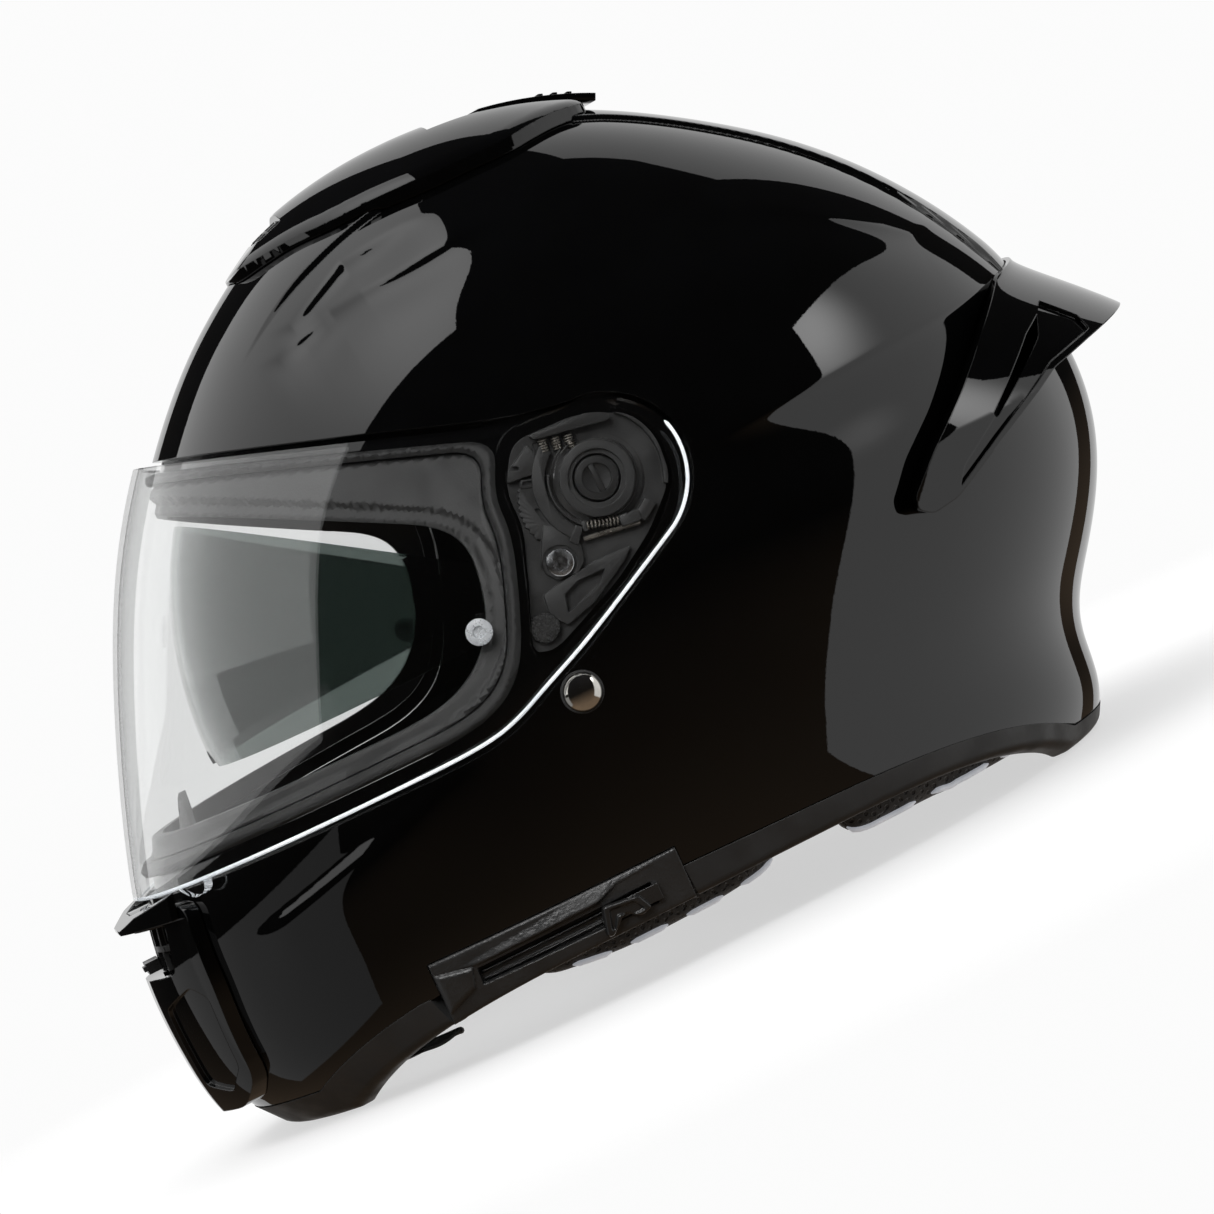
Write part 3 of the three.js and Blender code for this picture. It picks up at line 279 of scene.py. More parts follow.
def bake(obj):
    """Applies the object's modifiers."""
    depsgraph = bpy.context.evaluated_depsgraph_get()
    mesh = bpy.data.meshes.new_from_object(obj.evaluated_get(depsgraph))
    old = obj.data
    obj.modifiers.clear()
    obj.data = mesh
    mesh.name = obj.name
    bpy.data.meshes.remove(old)
    return obj


def boolean(obj, operation, *tools):
    for tool in tools:
        step = obj.modifiers.new("cut", "BOOLEAN")
        step.operation = operation
        step.solver = "MANIFOLD"
        step.object = tool
        bake(obj)
        bpy.data.objects.remove(tool)
    return obj


def cut(obj, *tools):
    return boolean(obj, "DIFFERENCE", *tools)


def joined(obj, *tools):
    return boolean(obj, "UNION", *tools)


def kept(obj, *tools):
    return boolean(obj, "INTERSECT", *tools)


def mirrored(obj, name):
    twin = obj.copy()
    twin.data = obj.data.copy()
    twin.name = name
    scene.collection.objects.link(twin)
    twin.data.transform(Matrix.Diagonal((-1, 1, 1, 1)))
    twin.data.flip_normals()
    return twin


AROUND, UP = 540, 300
UNDERSIDE = 140


def dome(radius, around=AROUND, up=UP, name="dome"):
    """A closed ball-like solid whose surface is radius(turn, rise) from the drawing centre."""
    turns = np.arange(around) * 2 * math.pi / around - math.pi
    rises = (np.arange(1, up) / up - 0.5) * math.pi
    turn, rise = np.meshgrid(turns, rises)
    poles = np.array([[0, -math.pi / 2], [0, math.pi / 2]])
    turn = np.concatenate([turn.ravel(), poles[:, 0]])
    rise = np.concatenate([rise.ravel(), poles[:, 1]])
    way = direction(turn, rise)
    reach = radius(np.abs(turn), rise)
    down = np.clip(-way[:, 2], 1e-6, None)
    reach = np.where(way[:, 2] < 0, np.minimum(reach, UNDERSIDE / down), reach)
    points = way * reach[:, None] + (0, 0, CENTRE_HEIGHT)
    rows, last = up - 1, (up - 1) * around
    row, column = np.mgrid[0:rows - 1, 0:around]
    beside = (column + 1) % around
    quads = np.stack([row * around + column, row * around + beside,
                      (row + 1) * around + beside, (row + 1) * around + column], -1)
    faces = quads.reshape(-1, 4).tolist()
    faces += [(last, (c + 1) % around, c) for c in range(around)]
    top = (rows - 1) * around
    faces += [(last + 1, top + c, top + (c + 1) % around) for c in range(around)]
    return new_object(name, points, faces)


def skin(offset, **grid):
    return dome(skin_radius(offset), **grid)


def rounded(points, radius, steps=6):
    """A closed outline with each corner replaced by a smooth arc."""
    made = []
    ring = [np.array(p, float) for p in points]
    for i, corner in enumerate(ring):
        sides = []
        for other in (ring[i - 1], ring[(i + 1) % len(ring)]):
            run = other - corner
            far = np.linalg.norm(run)
            sides.append(corner + run * min(radius, far * 0.49) / far)
        for k in range(steps + 1):
            t = k / steps
            made.append((1 - t) ** 2 * sides[0] + 2 * t * (1 - t) * corner + t * t * sides[1])
    return [tuple(p) for p in made]


def grown(points, by, centre):
    made = []
    for p in points:
        away = np.array(p, float) - centre
        made.append(tuple(np.array(p) + away / np.linalg.norm(away) * by))
    return made


PLANES = {"x": lambda a, b, d: (d, a, b), "y": lambda a, b, d: (a, d, b), "z": lambda a, b, d: (a, b, d)}


def prism(axis, outline, start=-FAR / 2, end=FAR / 2, name="prism"):
    """An outline in the other two axes, pushed along this one."""
    count = len(outline)
    to_point = PLANES[axis]
    points = [to_point(a, b, start) for a, b in outline] + [to_point(a, b, end) for a, b in outline]
    sides = [(i, (i + 1) % count, count + (i + 1) % count, count + i) for i in range(count)]
    caps = [tuple(range(count))[::-1], tuple(range(count, 2 * count))]
    return recalculated(new_object(name, points, sides + caps))


def block(x0, x1, y0, y1, z0, z1):
    return prism("x", [(y0, z0), (y1, z0), (y1, z1), (y0, z1)], x0, x1)


def circle(centre, radius, steps=48, squash=1.0):
    return [
        (centre[0] + radius * math.cos(i * 2 * math.pi / steps),
         centre[1] + radius * squash * math.sin(i * 2 * math.pi / steps))
        for i in range(steps)
    ]


def drum(radius, x0, x1, centre, steps=48):
    return prism("x", circle(centre, radius, steps), x0, x1)


def both_sides(points):
    return list(points) + [(-x, y) for x, y in reversed(points) if x > 0]


def between(low, high, y0, y1, step=2.0):
    """A side-view outline between two curves over y."""
    ys = np.linspace(y0, y1, max(2, int((y1 - y0) / step)))
    return [(y, low(y)) for y in ys] + [(y, high(y)) for y in ys[::-1]]


def edge_distance(a, b, outline):
    """Distance from each point to a closed outline, above zero inside it."""
    a, b = np.asarray(a, float), np.asarray(b, float)
    far = np.full(a.shape, 1e9)
    inside = np.zeros(a.shape, bool)
    for (a0, b0), (a1, b1) in zip(outline, outline[1:] + outline[:1]):
        da, db = a1 - a0, b1 - b0
        t = np.clip(((a - a0) * da + (b - b0) * db) / max(da * da + db * db, 1e-9), 0, 1)
        far = np.minimum(far, np.hypot(a - a0 - t * da, b - b0 - t * db))
        if abs(db) > 1e-9:
            inside ^= ((b0 > b) != (b1 > b)) & (a < a0 + (b - b0) * da / db)
    return np.where(inside, far, -far)


TOP_VIEW = (0, 1)  # the two axes of a view from above


def places(turn, rise, radius):
    """Where each direction meets a surface; x is taken on the left side."""
    return direction(turn, rise) * np.asarray(radius)[..., None] + (0, 0, CENTRE_HEIGHT)


def crown(depth, width):
    """Share of full height at a depth inside an edge, for an edge rounded over this width."""
    t = np.clip(depth / width, 0, 1)
    return np.sqrt(np.clip(1 - (1 - t) ** 2, 0, 1))


def panel_radius(outline, view, low, height, width, base=outer_radius):
    """A skin that rises from low to height inside an outline, with rounded shoulders."""
    def radius(turn, rise):
        plain = base(turn, rise)
        p = places(turn, rise, plain)
        deep = edge_distance(p[..., view[0]], p[..., view[1]], outline)
        return plain + low + (height - low) * crown(deep, width)
    return radius


def shade(obj, *skins, angle=32, tolerance=0.06):
    """Smooth shading with the exact slope of each named surface where a face lies on it."""
    mesh = obj.data
    mesh.shade_smooth()
    mesh.set_sharp_from_angle(angle=angle * DEG)
    if not skins:
        return obj
    count = len(mesh.loops)
    normals = np.zeros(count * 3, np.float32)
    mesh.corner_normals.foreach_get("vector", normals)
    normals = normals.reshape(-1, 3).astype(float)
    corner_vertex = np.zeros(count, np.int64)
    mesh.loops.foreach_get("vertex_index", corner_vertex)
    points = np.zeros(len(mesh.vertices) * 3, np.float32)
    mesh.vertices.foreach_get("co", points)
    points = points.reshape(-1, 3).astype(float) / MM
    totals = np.zeros(len(mesh.polygons), np.int64)
    mesh.polygons.foreach_get("loop_total", totals)
    corner_face = np.repeat(np.arange(len(totals)), totals)
    facing = np.zeros(len(totals) * 3, np.float32)
    mesh.polygons.foreach_get("normal", facing)
    facing = facing.reshape(-1, 3)
    for radius in skins:
        near = np.abs(height_over(points, radius)) < tolerance
        slope = np.zeros_like(points)
        slope[near] = slope_over(points[near], radius)
        on = np.ones(len(totals), bool)
        np.logical_and.at(on, corner_face, near[corner_vertex])
        chosen = on[corner_face]
        sign = np.sign(np.einsum("ij,ij->i", slope[corner_vertex], facing[corner_face]))
        agrees = np.abs(np.einsum("ij,ij->i", slope[corner_vertex], facing[corner_face])) > 0.6
        chosen &= agrees
        normals[chosen] = (slope[corner_vertex] * sign[:, None])[chosen]
    mesh.normals_split_custom_set(normals.tolist())
    return obj


def bevelled(obj, width, segments=2, angle=35):
    step = obj.modifiers.new("edge", "BEVEL")
    step.width = width * MM
    step.segments = segments
    step.limit_method = "ANGLE"
    step.angle_limit = angle * DEG
    step.use_clamp_overlap = True
    return obj


def tube(name, path, radius, sides=10, closed=False):
    """A round cord along a path of points, with rounded ends."""
    path = [Vector(p) for p in path]
    count = len(path)
    points, faces = [], []
    normal = None
    for i, p in enumerate(path):
        ahead = path[(i + 1) % count] if closed or i < count - 1 else p
        behind = path[i - 1] if closed or i > 0 else p
        way = (ahead - behind).normalized()
        if normal is None:
            normal = way.orthogonal().normalized()
        normal = (normal - way * normal.dot(way)).normalized()
        other = way.cross(normal)
        taper = 1.0
        if not closed:
            taper = min(1.0, (min(i, count - 1 - i) + 0.35) / 1.35)
        for k in range(sides):
            a = 2 * math.pi * k / sides
            points.append(p + (normal * math.cos(a) + other * math.sin(a)) * radius * taper)
    for i in range(count if closed else count - 1):
        for k in range(sides):
            a, b = i * sides + k, i * sides + (k + 1) % sides
            c, d = ((i + 1) % count) * sides + (k + 1) % sides, ((i + 1) % count) * sides + k
            faces.append((a, b, c, d))
    if not closed:
        faces.append(tuple(range(sides))[::-1])
        faces.append(tuple(range((count - 1) * sides, count * sides)))
    return recalculated(new_object(name, points, faces))


def coil(name, start, end, radius, wire, turns, per_turn=14):
    start, end = Vector(start), Vector(end)
    way = (end - start).normalized()
    side = way.orthogonal().normalized()
    other = way.cross(side)
    steps = int(turns * per_turn)
    path = []
    for i in range(steps + 1):
        t = i / steps
        a = 2 * math.pi * turns * t
        path.append(start.lerp(end, t) + (side * math.cos(a) + other * math.sin(a)) * radius)
    return tube(name, path, wire, sides=6)


# ---- Materials -----------------------------------------------------------------------------
class Look:
    """One procedural material, built node by node round a Principled shader."""

    def __init__(self, name, **sockets):
        self.material = bpy.data.materials.new(name)
        self.material.use_nodes = True
        self.tree = self.material.node_tree
        self.shader = self.tree.nodes["Principled BSDF"]
        for socket, value in sockets.items():
            self.shader.inputs[socket.replace("_", " ")].default_value = value
        self.place = None
        self.height = None

    def node(self, kind, **inputs):
        made = self.tree.nodes.new("ShaderNode" + kind)
        for socket, value in inputs.items():
            target = made.inputs[int(socket[1:]) if socket[0] == "i" and socket[1:].isdigit() else socket]
            if isinstance(value, bpy.types.NodeSocket):
                self.tree.links.new(value, target)
            else:
                target.default_value = value
        return made

    def math(self, operation, a, b=0.0):
        made = self.node("Math", i0=a, i1=b)
        made.operation = operation
        return made.outputs[0]

    def where(self):
        if self.place is None:
            self.place = self.node("TexCoord").outputs["Object"]
        return self.place

    def noise(self, scale, detail=3.0, roughness=0.55, stretch=None):
        at = self.where()
        if stretch:
            mapping = self.node("Mapping", Vector=at, Scale=stretch)
            at = mapping.outputs[0]
        made = self.node("TexNoise", Vector=at, Scale=scale, Detail=detail, Roughness=roughness)
        return made.outputs["Fac"]

    def ramp(self, value, low, high, start=0.35, end=0.65):
        made = self.node("MapRange", Value=value)
        for socket, number in zip(("From Min", "From Max", "To Min", "To Max"), (start, end, low, high)):
            made.inputs[socket].default_value = number
        return made.outputs[0]

    def mix(self, factor, first, second):
        made = self.tree.nodes.new("ShaderNodeMix")
        made.data_type = "RGBA"
        for socket, value in zip((made.inputs[0], made.inputs[6], made.inputs[7]), (factor, first, second)):
            if isinstance(value, bpy.types.NodeSocket):
                self.tree.links.new(value, socket)
            else:
                socket.default_value = value
        return made.outputs[2]

    def set(self, socket, value):
        self.tree.links.new(value, self.shader.inputs[socket])

    def colours(self, scale, first, second, detail=3.0, start=0.35, end=0.65):
        factor = self.ramp(self.noise(scale, detail), 0.0, 1.0, start, end)
        self.set("Base Color", self.mix(factor, first, second))

    def roughness(self, scale, low, high, detail=3.0, stretch=None):
        self.set("Roughness", self.ramp(self.noise(scale, detail, stretch=stretch), low, high))

    def bump(self, height, distance, strength=1.0, edge=0.0):
        before = self.node("Bevel", Radius=edge * MM).outputs[0] if edge else None
        made = self.node("Bump", Height=height, Distance=distance * MM, Strength=strength)
        if before:
            self.tree.links.new(before, made.inputs["Normal"])
        self.set("Normal", made.outputs[0])
        return self


def grey(value, warmth=0.0):
    return (value * (1 + warmth), value, value * (1 - warmth), 1)


def gloss_black():
    look = Look("gloss_black_lacquer", Specular_IOR_Level=0.0, Coat_Weight=1.0,
                Coat_Roughness=0.015, Coat_IOR=1.54)
    look.colours(40, grey(0.0022), grey(0.0036, -0.06))
    look.roughness(26, 0.3, 0.5, detail=6)
    look.bump(look.noise(620, 2), 0.004, 0.5, edge=0.45)
    look.tree.links.new(look.shader.inputs["Normal"].links[0].from_socket, look.shader.inputs["Coat Normal"])
    return look.material


def textured(name, colour, grain, depth, rough, edge=0.35, **sockets):
    look = Look(name, **sockets)
    look.colours(60, grey(colour * 0.8), grey(colour * 1.25), detail=5)
    look.roughness(90, rough - 0.08, rough + 0.1, detail=4)
    height = look.math("ADD", look.noise(grain, 2), look.math("MULTIPLY", look.noise(grain * 0.31, 2), 0.6))
    return look.bump(height, depth, 0.8, edge).material


def clear_pane():
    look = Look("clear_visor", Transmission_Weight=1.0, IOR=1.49, Base_Color=(0.985, 0.992, 0.99, 1))
    look.roughness(14, 0.0, 0.02, detail=8)
    return look.bump(look.noise(9, 2), 0.02, 0.2).material


def tinted_pane():
    look = Look("tinted_visor", Transmission_Weight=1.0, IOR=1.49, Base_Color=(0.13, 0.16, 0.148, 1))
    look.roughness(20, 0.0, 0.03, detail=8)
    return look.bump(look.noise(9, 2), 0.02, 0.2).material


def frosted():
    look = Look("frosted_pin", Transmission_Weight=0.6, IOR=1.49, Base_Color=(0.85, 0.87, 0.9, 1))
    look.roughness(900, 0.2, 0.5)
    return look.bump(look.noise(1400, 2), 0.25, 0.9).material


def pane_edge_painted_glow():
    # Frosted cut edge: the pale colour is the frost's own, the emission is a painted highlight glow.
    look = Look("visor_cut_edge_painted_glow", Transmission_Weight=0.25, IOR=1.49,
                Emission_Color=(0.8, 0.84, 0.88, 1), Emission_Strength=0.16)
    look.colours(30, (0.72, 0.75, 0.78, 1), (0.9, 0.92, 0.94, 1))
    look.roughness(60, 0.16, 0.34)
    return look.bump(look.noise(300, 2), 0.03, 0.4).material


def metal(name, colour, low, high, grain=300, stretch=None):
    look = Look(name, Metallic=1.0)
    look.colours(120, colour, tuple(c * 0.75 for c in colour[:3]) + (1,))
    look.roughness(grain, low, high, detail=5, stretch=stretch)
    return look.bump(look.noise(grain * 3, 3, stretch=stretch), 0.02, 0.3, edge=0.15).material


def knit():
    """Open mesh knit: rows of small hexagonal holes, darkened with painted shade, laid on from three sides.
    """
    look = Look("mesh_knit", Sheen_Weight=0.25, Sheen_Roughness=0.5)
    look.place = look.node("TexCoord").outputs["Object"]
    normal = look.node("NewGeometry").outputs["True Normal"]
    parts = look.node("SeparateXYZ", Vector=look.where())
    faces = look.node("SeparateXYZ", Vector=normal)
    pitch = 2 * math.pi / (2.35 * MM)

    def cells(u, v):
        waves = []
        for turn in (0, 60, 120):
            across = look.math("ADD", look.math("MULTIPLY", u, math.cos(turn * DEG) * pitch),
                               look.math("MULTIPLY", v, math.sin(turn * DEG) * pitch))
            waves.append(look.math("COSINE", across))
        return look.math("ADD", look.math("ADD", waves[0], waves[1]), waves[2])

    axes = {"x": parts.outputs[0], "y": parts.outputs[1], "z": parts.outputs[2]}
    sides = [("y", "z"), ("x", "z"), ("x", "y")]
    total = None
    for i, (u, v) in enumerate(sides):
        weight = look.math("POWER", look.math("ABSOLUTE", faces.outputs[i]), 6.0)
        part = look.math("MULTIPLY", cells(axes[u], axes[v]), weight)
        total = part if total is None else look.math("ADD", total, part)
        weights = weight if i == 0 else look.math("ADD", weights, weight)
    field = look.math("DIVIDE", total, weights)
    hole_with_painted_shade = look.ramp(field, 0.0, 1.0, 0.35, 1.6)
    tone = look.mix(look.ramp(look.noise(40, 4), 0.0, 1.0), grey(0.018), grey(0.034))
    # The holes are coloured near-black: painted shade in them.
    look.set("Base Color", look.mix(hole_with_painted_shade, tone, grey(0.0015)))
    look.roughness(300, 0.7, 0.95)
    fuzz = look.math("MULTIPLY", look.noise(2600, 2), 0.12)
    height = look.math("SUBTRACT", fuzz, hole_with_painted_shade)
    return look.bump(height, 0.8, 1.0).material


def webbing():
    look = Look("strap_webbing", Sheen_Weight=0.2)
    parts = look.node("SeparateXYZ", Vector=look.where())
    pitch = 2 * math.pi / (1.3 * MM)
    ribs = look.math("SINE", look.math("MULTIPLY", parts.outputs[1], pitch))
    cross = look.math("ADD", look.math("MULTIPLY", parts.outputs[0], pitch),
                      look.math("MULTIPLY", parts.outputs[2], pitch))
    weave = look.math("MULTIPLY", ribs, look.math("SINE", cross))
    look.colours(500, grey(0.012), grey(0.022))
    look.roughness(300, 0.65, 0.9)
    return look.bump(look.math("ADD", weave, look.noise(2000, 2)), 0.22, 0.9).material


def piping_painted_glow_look():
    # Pale cord; the emission is a painted glow standing in for the light reflective piping catches.
    look = Look("reflective_piping_painted_glow", Sheen_Weight=0.3,
                Emission_Color=(0.8, 0.83, 0.9, 1), Emission_Strength=0.3)
    look.colours(160, (0.55, 0.58, 0.64, 1), (0.8, 0.82, 0.88, 1))
    look.roughness(400, 0.3, 0.5)
    return look.bump(look.noise(1800, 2), 0.08, 0.6).material


def foam_black():
    look = Look("impact_foam")
    cells = look.node("TexVoronoi", Vector=look.where(), Scale=260.0)
    look.colours(50, grey(0.008), grey(0.014))
    look.roughness(200, 0.7, 0.9)
    return look.bump(cells.outputs["Distance"], 0.25, 0.7, edge=0.3).material


LOOKS = {}


def look_for(kind):
    """Each material is made the first time it is asked for."""
    makers = {
        "gloss": gloss_black, "clear": clear_pane, "tint": tinted_pane, "frost": frosted, "edge": pane_edge_painted_glow,
        "knit": knit, "webbing": webbing, "piping": piping_painted_glow_look, "foam": foam_black,
        "frame": lambda: textured("frame_plastic", 0.024, 1500, 0.09, 0.46),
        "plate": lambda: textured("plate_plastic", 0.017, 1300, 0.07, 0.4),
        "satin": lambda: textured("satin_plastic", 0.01, 900, 0.03, 0.3),
        "rubber": lambda: textured("seal_rubber", 0.009, 700, 0.03, 0.5),
        "trim": lambda: textured("trim_rubber", 0.013, 800, 0.03, 0.55),
        "cover": lambda: textured("cover_plastic", 0.014, 750, 0.28, 0.4, edge=0.6),
        "deflector": lambda: textured("deflector_rubber", 0.045, 500, 0.03, 0.55),
        "flake": lambda: textured("detent_plastic", 0.03, 1100, 0.9, 0.22, Metallic=0.5),
        "chrome": lambda: metal("rivet_chrome", (0.62, 0.6, 0.56, 1), 0.04, 0.16),
        "steel": lambda: metal("screw_steel", (0.55, 0.56, 0.58, 1), 0.1, 0.3),
        "spring": lambda: metal("spring_steel", (0.3, 0.28, 0.25, 1), 0.2, 0.4),
        "lining": lambda: textured("lining_cloth", 0.012, 1600, 0.15, 0.85, Sheen_Weight=0.2),
    }
    if kind not in LOOKS:
        LOOKS[kind] = makers[kind]()
    return LOOKS[kind]


def finish_piece(obj, name, kind, body=ROOT, instead_of=()):
    """Names a new piece, gives it its material and slot, and lets it ride on its body."""
    obj.name = name
    obj.data.name = name
    obj.data.materials.clear()
    obj.data.materials.append(look_for(kind))
    if instead_of:
        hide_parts(*instead_of)
    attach(obj, body)
    return obj


# ---- Rim, shell and trims ------------------------------------------------------------------
def rim_height(y):
    middle = (CHIN_FLAT + NAPE_FLAT) / 2
    return np.maximum(0, RIM_ARCH * (1 - ((y - middle) / (NAPE_FLAT - middle)) ** 4))


def trim_top(y):
    return rim_height(y) + np.interp(y, (-26, 123), (10.5, 6))


def visor_outline():
    end = []
    for i in range(24):
        angle = (-62 + i * 153 / 23) * DEG
        lift = 0.9 if angle > 0 else 1
        p = (PIVOT[0] + 26 * math.cos(angle), PIVOT[1] + 26 * math.sin(angle) * lift)
        if p[0] > 3:
            end.append(p)
    return rounded(VISOR_BOTTOM[:-1] + end + VISOR_TOP, 14, 4)


def build_shell():
    shell = dome(shell_radius(), 900, 500, "shell")
    cut(shell, prism("x", grown(visor_outline(), 2.5, FACE_CENTRE)))
    joined(shell, dome(shell_radius(-RECESS)))
    cut(shell, skin(-SHELL, around=240, up=140))
    pod = rounded(grown(POD, 3, POD_CENTRE), 6)
    for side in (1, -1):
        ends = sorted((side * (POD_FLOOR - 3), side * POD_FLOOR))
        floor = prism("x", pod, *ends)
        joined(shell, kept(floor, skin(-0.5, around=180, up=100)))
    for side in (1, -1):
        ends = sorted((side * POD_FLOOR, side * FAR / 2))
        cut(shell, prism("x", rounded(POD, 5), *ends))
    cut(shell, prism("x", rounded(SEAL_OUTER, 10)))
    cut(shell, prism("x", between(lambda y: -60, trim_top, -200, 200)))
    cover = between(lambda y: -60, lambda y: COVER_TOP + GAP, COVER_FRONT, COVER_REAR)
    cut(shell, prism("x", cover))
    cut(shell, block(-13, 13, -200, -140, 55, 66))
    shade(shell, shell_radius(), shell_radius(-RECESS), skin_radius(-SHELL))
    finish_piece(shell, "shell_lacquered", "gloss", instead_of=["outer_shell"])


def build_trim(name, node, t0, t1, y_range):
    """A rubber edging swept round the rim with a rounded lip."""
    turns = np.linspace(t0, t1, 181)
    points, faces = [], []
    lip = 2.4
    arc = [i * math.pi / 10 for i in range(6)]
    outside = [(0.2 - lip * (1 - math.cos(a)), lip * (1 - math.sin(a))) for a in arc]
    inside = [(-TRIM_DEPTH + lip * (1 - math.cos(a)), lip * (1 - math.sin(a))) for a in reversed(arc)]
    section = outside + inside
    count = len(section) + 2
    for turn in turns:
        reach = wall(turn, 8.0)
        y = np.clip(-reach * math.cos(turn), *y_range)
        low, high = rim_height(y), trim_top(y) - GAP
        ring = [(0.2, high)] + [(o, low + h) for o, h in section] + [(-TRIM_DEPTH, high)]
        for offset, z in ring:
            r = float(wall(turn, z, offset))
            points.append((r * math.sin(turn), -r * math.cos(turn), z))
    for i in range(len(turns) - 1):
        for k in range(count):
            a, b = i * count + k, i * count + (k + 1) % count
            faces.append((a, b, b + count, a + count))
    faces += [tuple(range(count)), tuple(range((len(turns) - 1) * count, len(turns) * count))]
    trim = recalculated(new_object(name, points, faces))
    shade(trim, angle=50)
    finish_piece(trim, name, "trim", instead_of=[node])


def turn_at(y, z=20.0):
    """The turn from the face at which the surface passes a given y, on the left side."""
    turns = np.linspace(0.05, math.pi - 0.05, 2000)
    return float(turns[np.argmin(np.abs(-wall(turns, z) * np.cos(turns) - y))])


def build_trims():
    front = turn_at(COVER_FRONT - GAP, 15)
    rear = turn_at(COVER_REAR + GAP, 20)
    build_trim("rim_trim_front", "edge_trim_front", -front, front, (-200, COVER_FRONT - GAP))
    build_trim("rim_trim_rear", "edge_trim_rear", rear, 2 * math.pi - rear, (COVER_REAR + GAP, 200))


# ---- Visor, sun visor and eyeport ----------------------------------------------------------
def visor_radius(extra):
    def radius(turn, rise):
        curved = outer_radius(turn, rise) + VISOR_GAP + extra
        flat = ARM_OUTER - VISOR_WALL + extra
        across = np.cos(rise) * np.sin(turn)
        return np.where(across > 0.05, np.minimum(curved, flat / np.maximum(across, 0.05)), curved)
    return radius


LIFT_TAB = [(44, 87), (56, 80.2), (60, 79.6), (63, 81), (62.5, 87)]


def build_visor():
    pane = dome(visor_radius(VISOR_WALL), name="pane")
    cut(pane, dome(visor_radius(0)))
    tab = pane.copy()
    tab.data = pane.data.copy()
    scene.collection.objects.link(tab)
    kept(pane, prism("x", visor_outline()))
    kept(tab, prism("y", rounded(LIFT_TAB, 2), -200, -100))
    joined(pane, tab)
    for side in (1, -1):
        ends = sorted((side * (PLATE_TOP + 2 * GAP), side * (ARM_OUTER - VISOR_WALL / 2)))
        ring = drum(HUB_RADIUS + 2, *ends, PIVOT, 64)
        cut(ring, drum(HUB_RADIUS + 0.4, -200, 200, PIVOT, 64))
        joined(pane, ring)
    shade(pane, visor_radius(VISOR_WALL), visor_radius(0))
    pane.visible_shadow = False
    finish_piece(pane, "visor_clear", "clear", "visor_pane", instead_of=["visor"])


EDGE_BEAD = 0.6


def build_visor_edge():
    """The visor's frosted cut edge, with a painted glow for its highlight, along its lower side and round its
    ends.
    """
    middle = VISOR_GAP + VISOR_WALL / 2
    outline = visor_outline()
    low = [p for p in outline if p[0] > -140 and (p[1] < 141 or p[0] > 3)]
    rear = int(np.argmax([p[0] for p in low]))
    side = []
    for y, z in low[:rear + 14]:
        x = min(half_width(y, z, middle), ARM_OUTER - VISOR_WALL / 2)
        side.append((x, y, z))
    first = math.atan2(side[0][0], -side[0][1])
    front = []
    for turn in np.linspace(-first, first, 120)[1:-1]:
        z = 90.0
        for _ in range(6):
            y = -float(wall(turn, z, middle)) * math.cos(turn)
            z = float(along(y, VISOR_BOTTOM))
        reach = float(wall(turn, z, middle))
        front.append((reach * math.sin(turn), -reach * math.cos(turn), z))
    other = [(-x, y, z) for x, y, z in reversed(side)]
    bead = tube("bead", smooth_path(other + front + side, 1.2), EDGE_BEAD, 8)
    bead.visible_shadow = False
    finish_piece(shade(bead, angle=60), "visor_cut_edge_painted_glow", "edge", "visor_pane")


def sun_ball(shrink, steps=72, around=240):
    """A closed superellipse turned about the sun visor's pivot axis."""
    angles = np.linspace(0, math.pi, 2 * steps + 1)
    power = 2 / 2.5
    reach = (SUN_RADIUS - shrink) * np.sin(angles) ** power
    across = (SUN_HALF_WIDTH - shrink) * np.sign(np.cos(angles)) * np.abs(np.cos(angles)) ** power
    points = [(across[0], SUN_PIVOT[0], SUN_PIVOT[1]), (across[-1], SUN_PIVOT[0], SUN_PIVOT[1])]
    for r, x in zip(reach[1:-1], across[1:-1]):
        for k in range(around):
            a = 2 * math.pi * k / around
            points.append((x, SUN_PIVOT[0] + r * math.cos(a), SUN_PIVOT[1] + r * math.sin(a)))
    rows = len(angles) - 2
    faces = []
    for i in range(rows - 1):
        for k in range(around):
            a, b = 2 + i * around + k, 2 + i * around + (k + 1) % around
            faces.append((a, b, b + around, a + around))
    last = 2 + (rows - 1) * around
    faces += [(0, 2 + (k + 1) % around, 2 + k) for k in range(around)]
    faces += [(1, last + k, last + (k + 1) % around) for k in range(around)]
    return recalculated(new_object("ball", points, faces))


def sun_point(radius, degrees):
    return (SUN_PIVOT[0] - radius * math.cos(degrees * DEG), SUN_PIVOT[1] + radius * math.sin(degrees * DEG))


def build_sun_visor():
    lens = cut(sun_ball(0), sun_ball(SUN_WALL))
    low, high = -1, 34.5
    arc = [sun_point(160, low + (high - low) * i / 24) for i in range(25)]
    sector = prism("x", rounded(arc + [sun_point(34, high), sun_point(34, low)], 4, 3))
    arms = prism("x", rounded([
        sun_point(44, low + 10), sun_point(44, high - 7), sun_point(10, 70), sun_point(9, 160),
        sun_point(9, 215), sun_point(9, 270), sun_point(11, -40),
    ], 5))
    kept(lens, joined(sector, arms))
    cut(lens, prism("y", circle((0, SUN_PIVOT[1] - 15), 24, 64, 0.75), -200, -60))
    shade(lens, angle=30)
    finish_piece(lens, "sun_visor_tinted", "tint", "sun_lens", instead_of=["sun_visor"])


def ring_piece(outside, inside, top, bottom):
    ring = dome(top)
    cut(ring, skin(bottom, around=300, up=170))
    kept(ring, prism("x", outside))
    cut(ring, prism("x", inside))
    return shade(ring, top, skin_radius(bottom))


BROW = 5.0  # width of the sunken lip round the eye opening


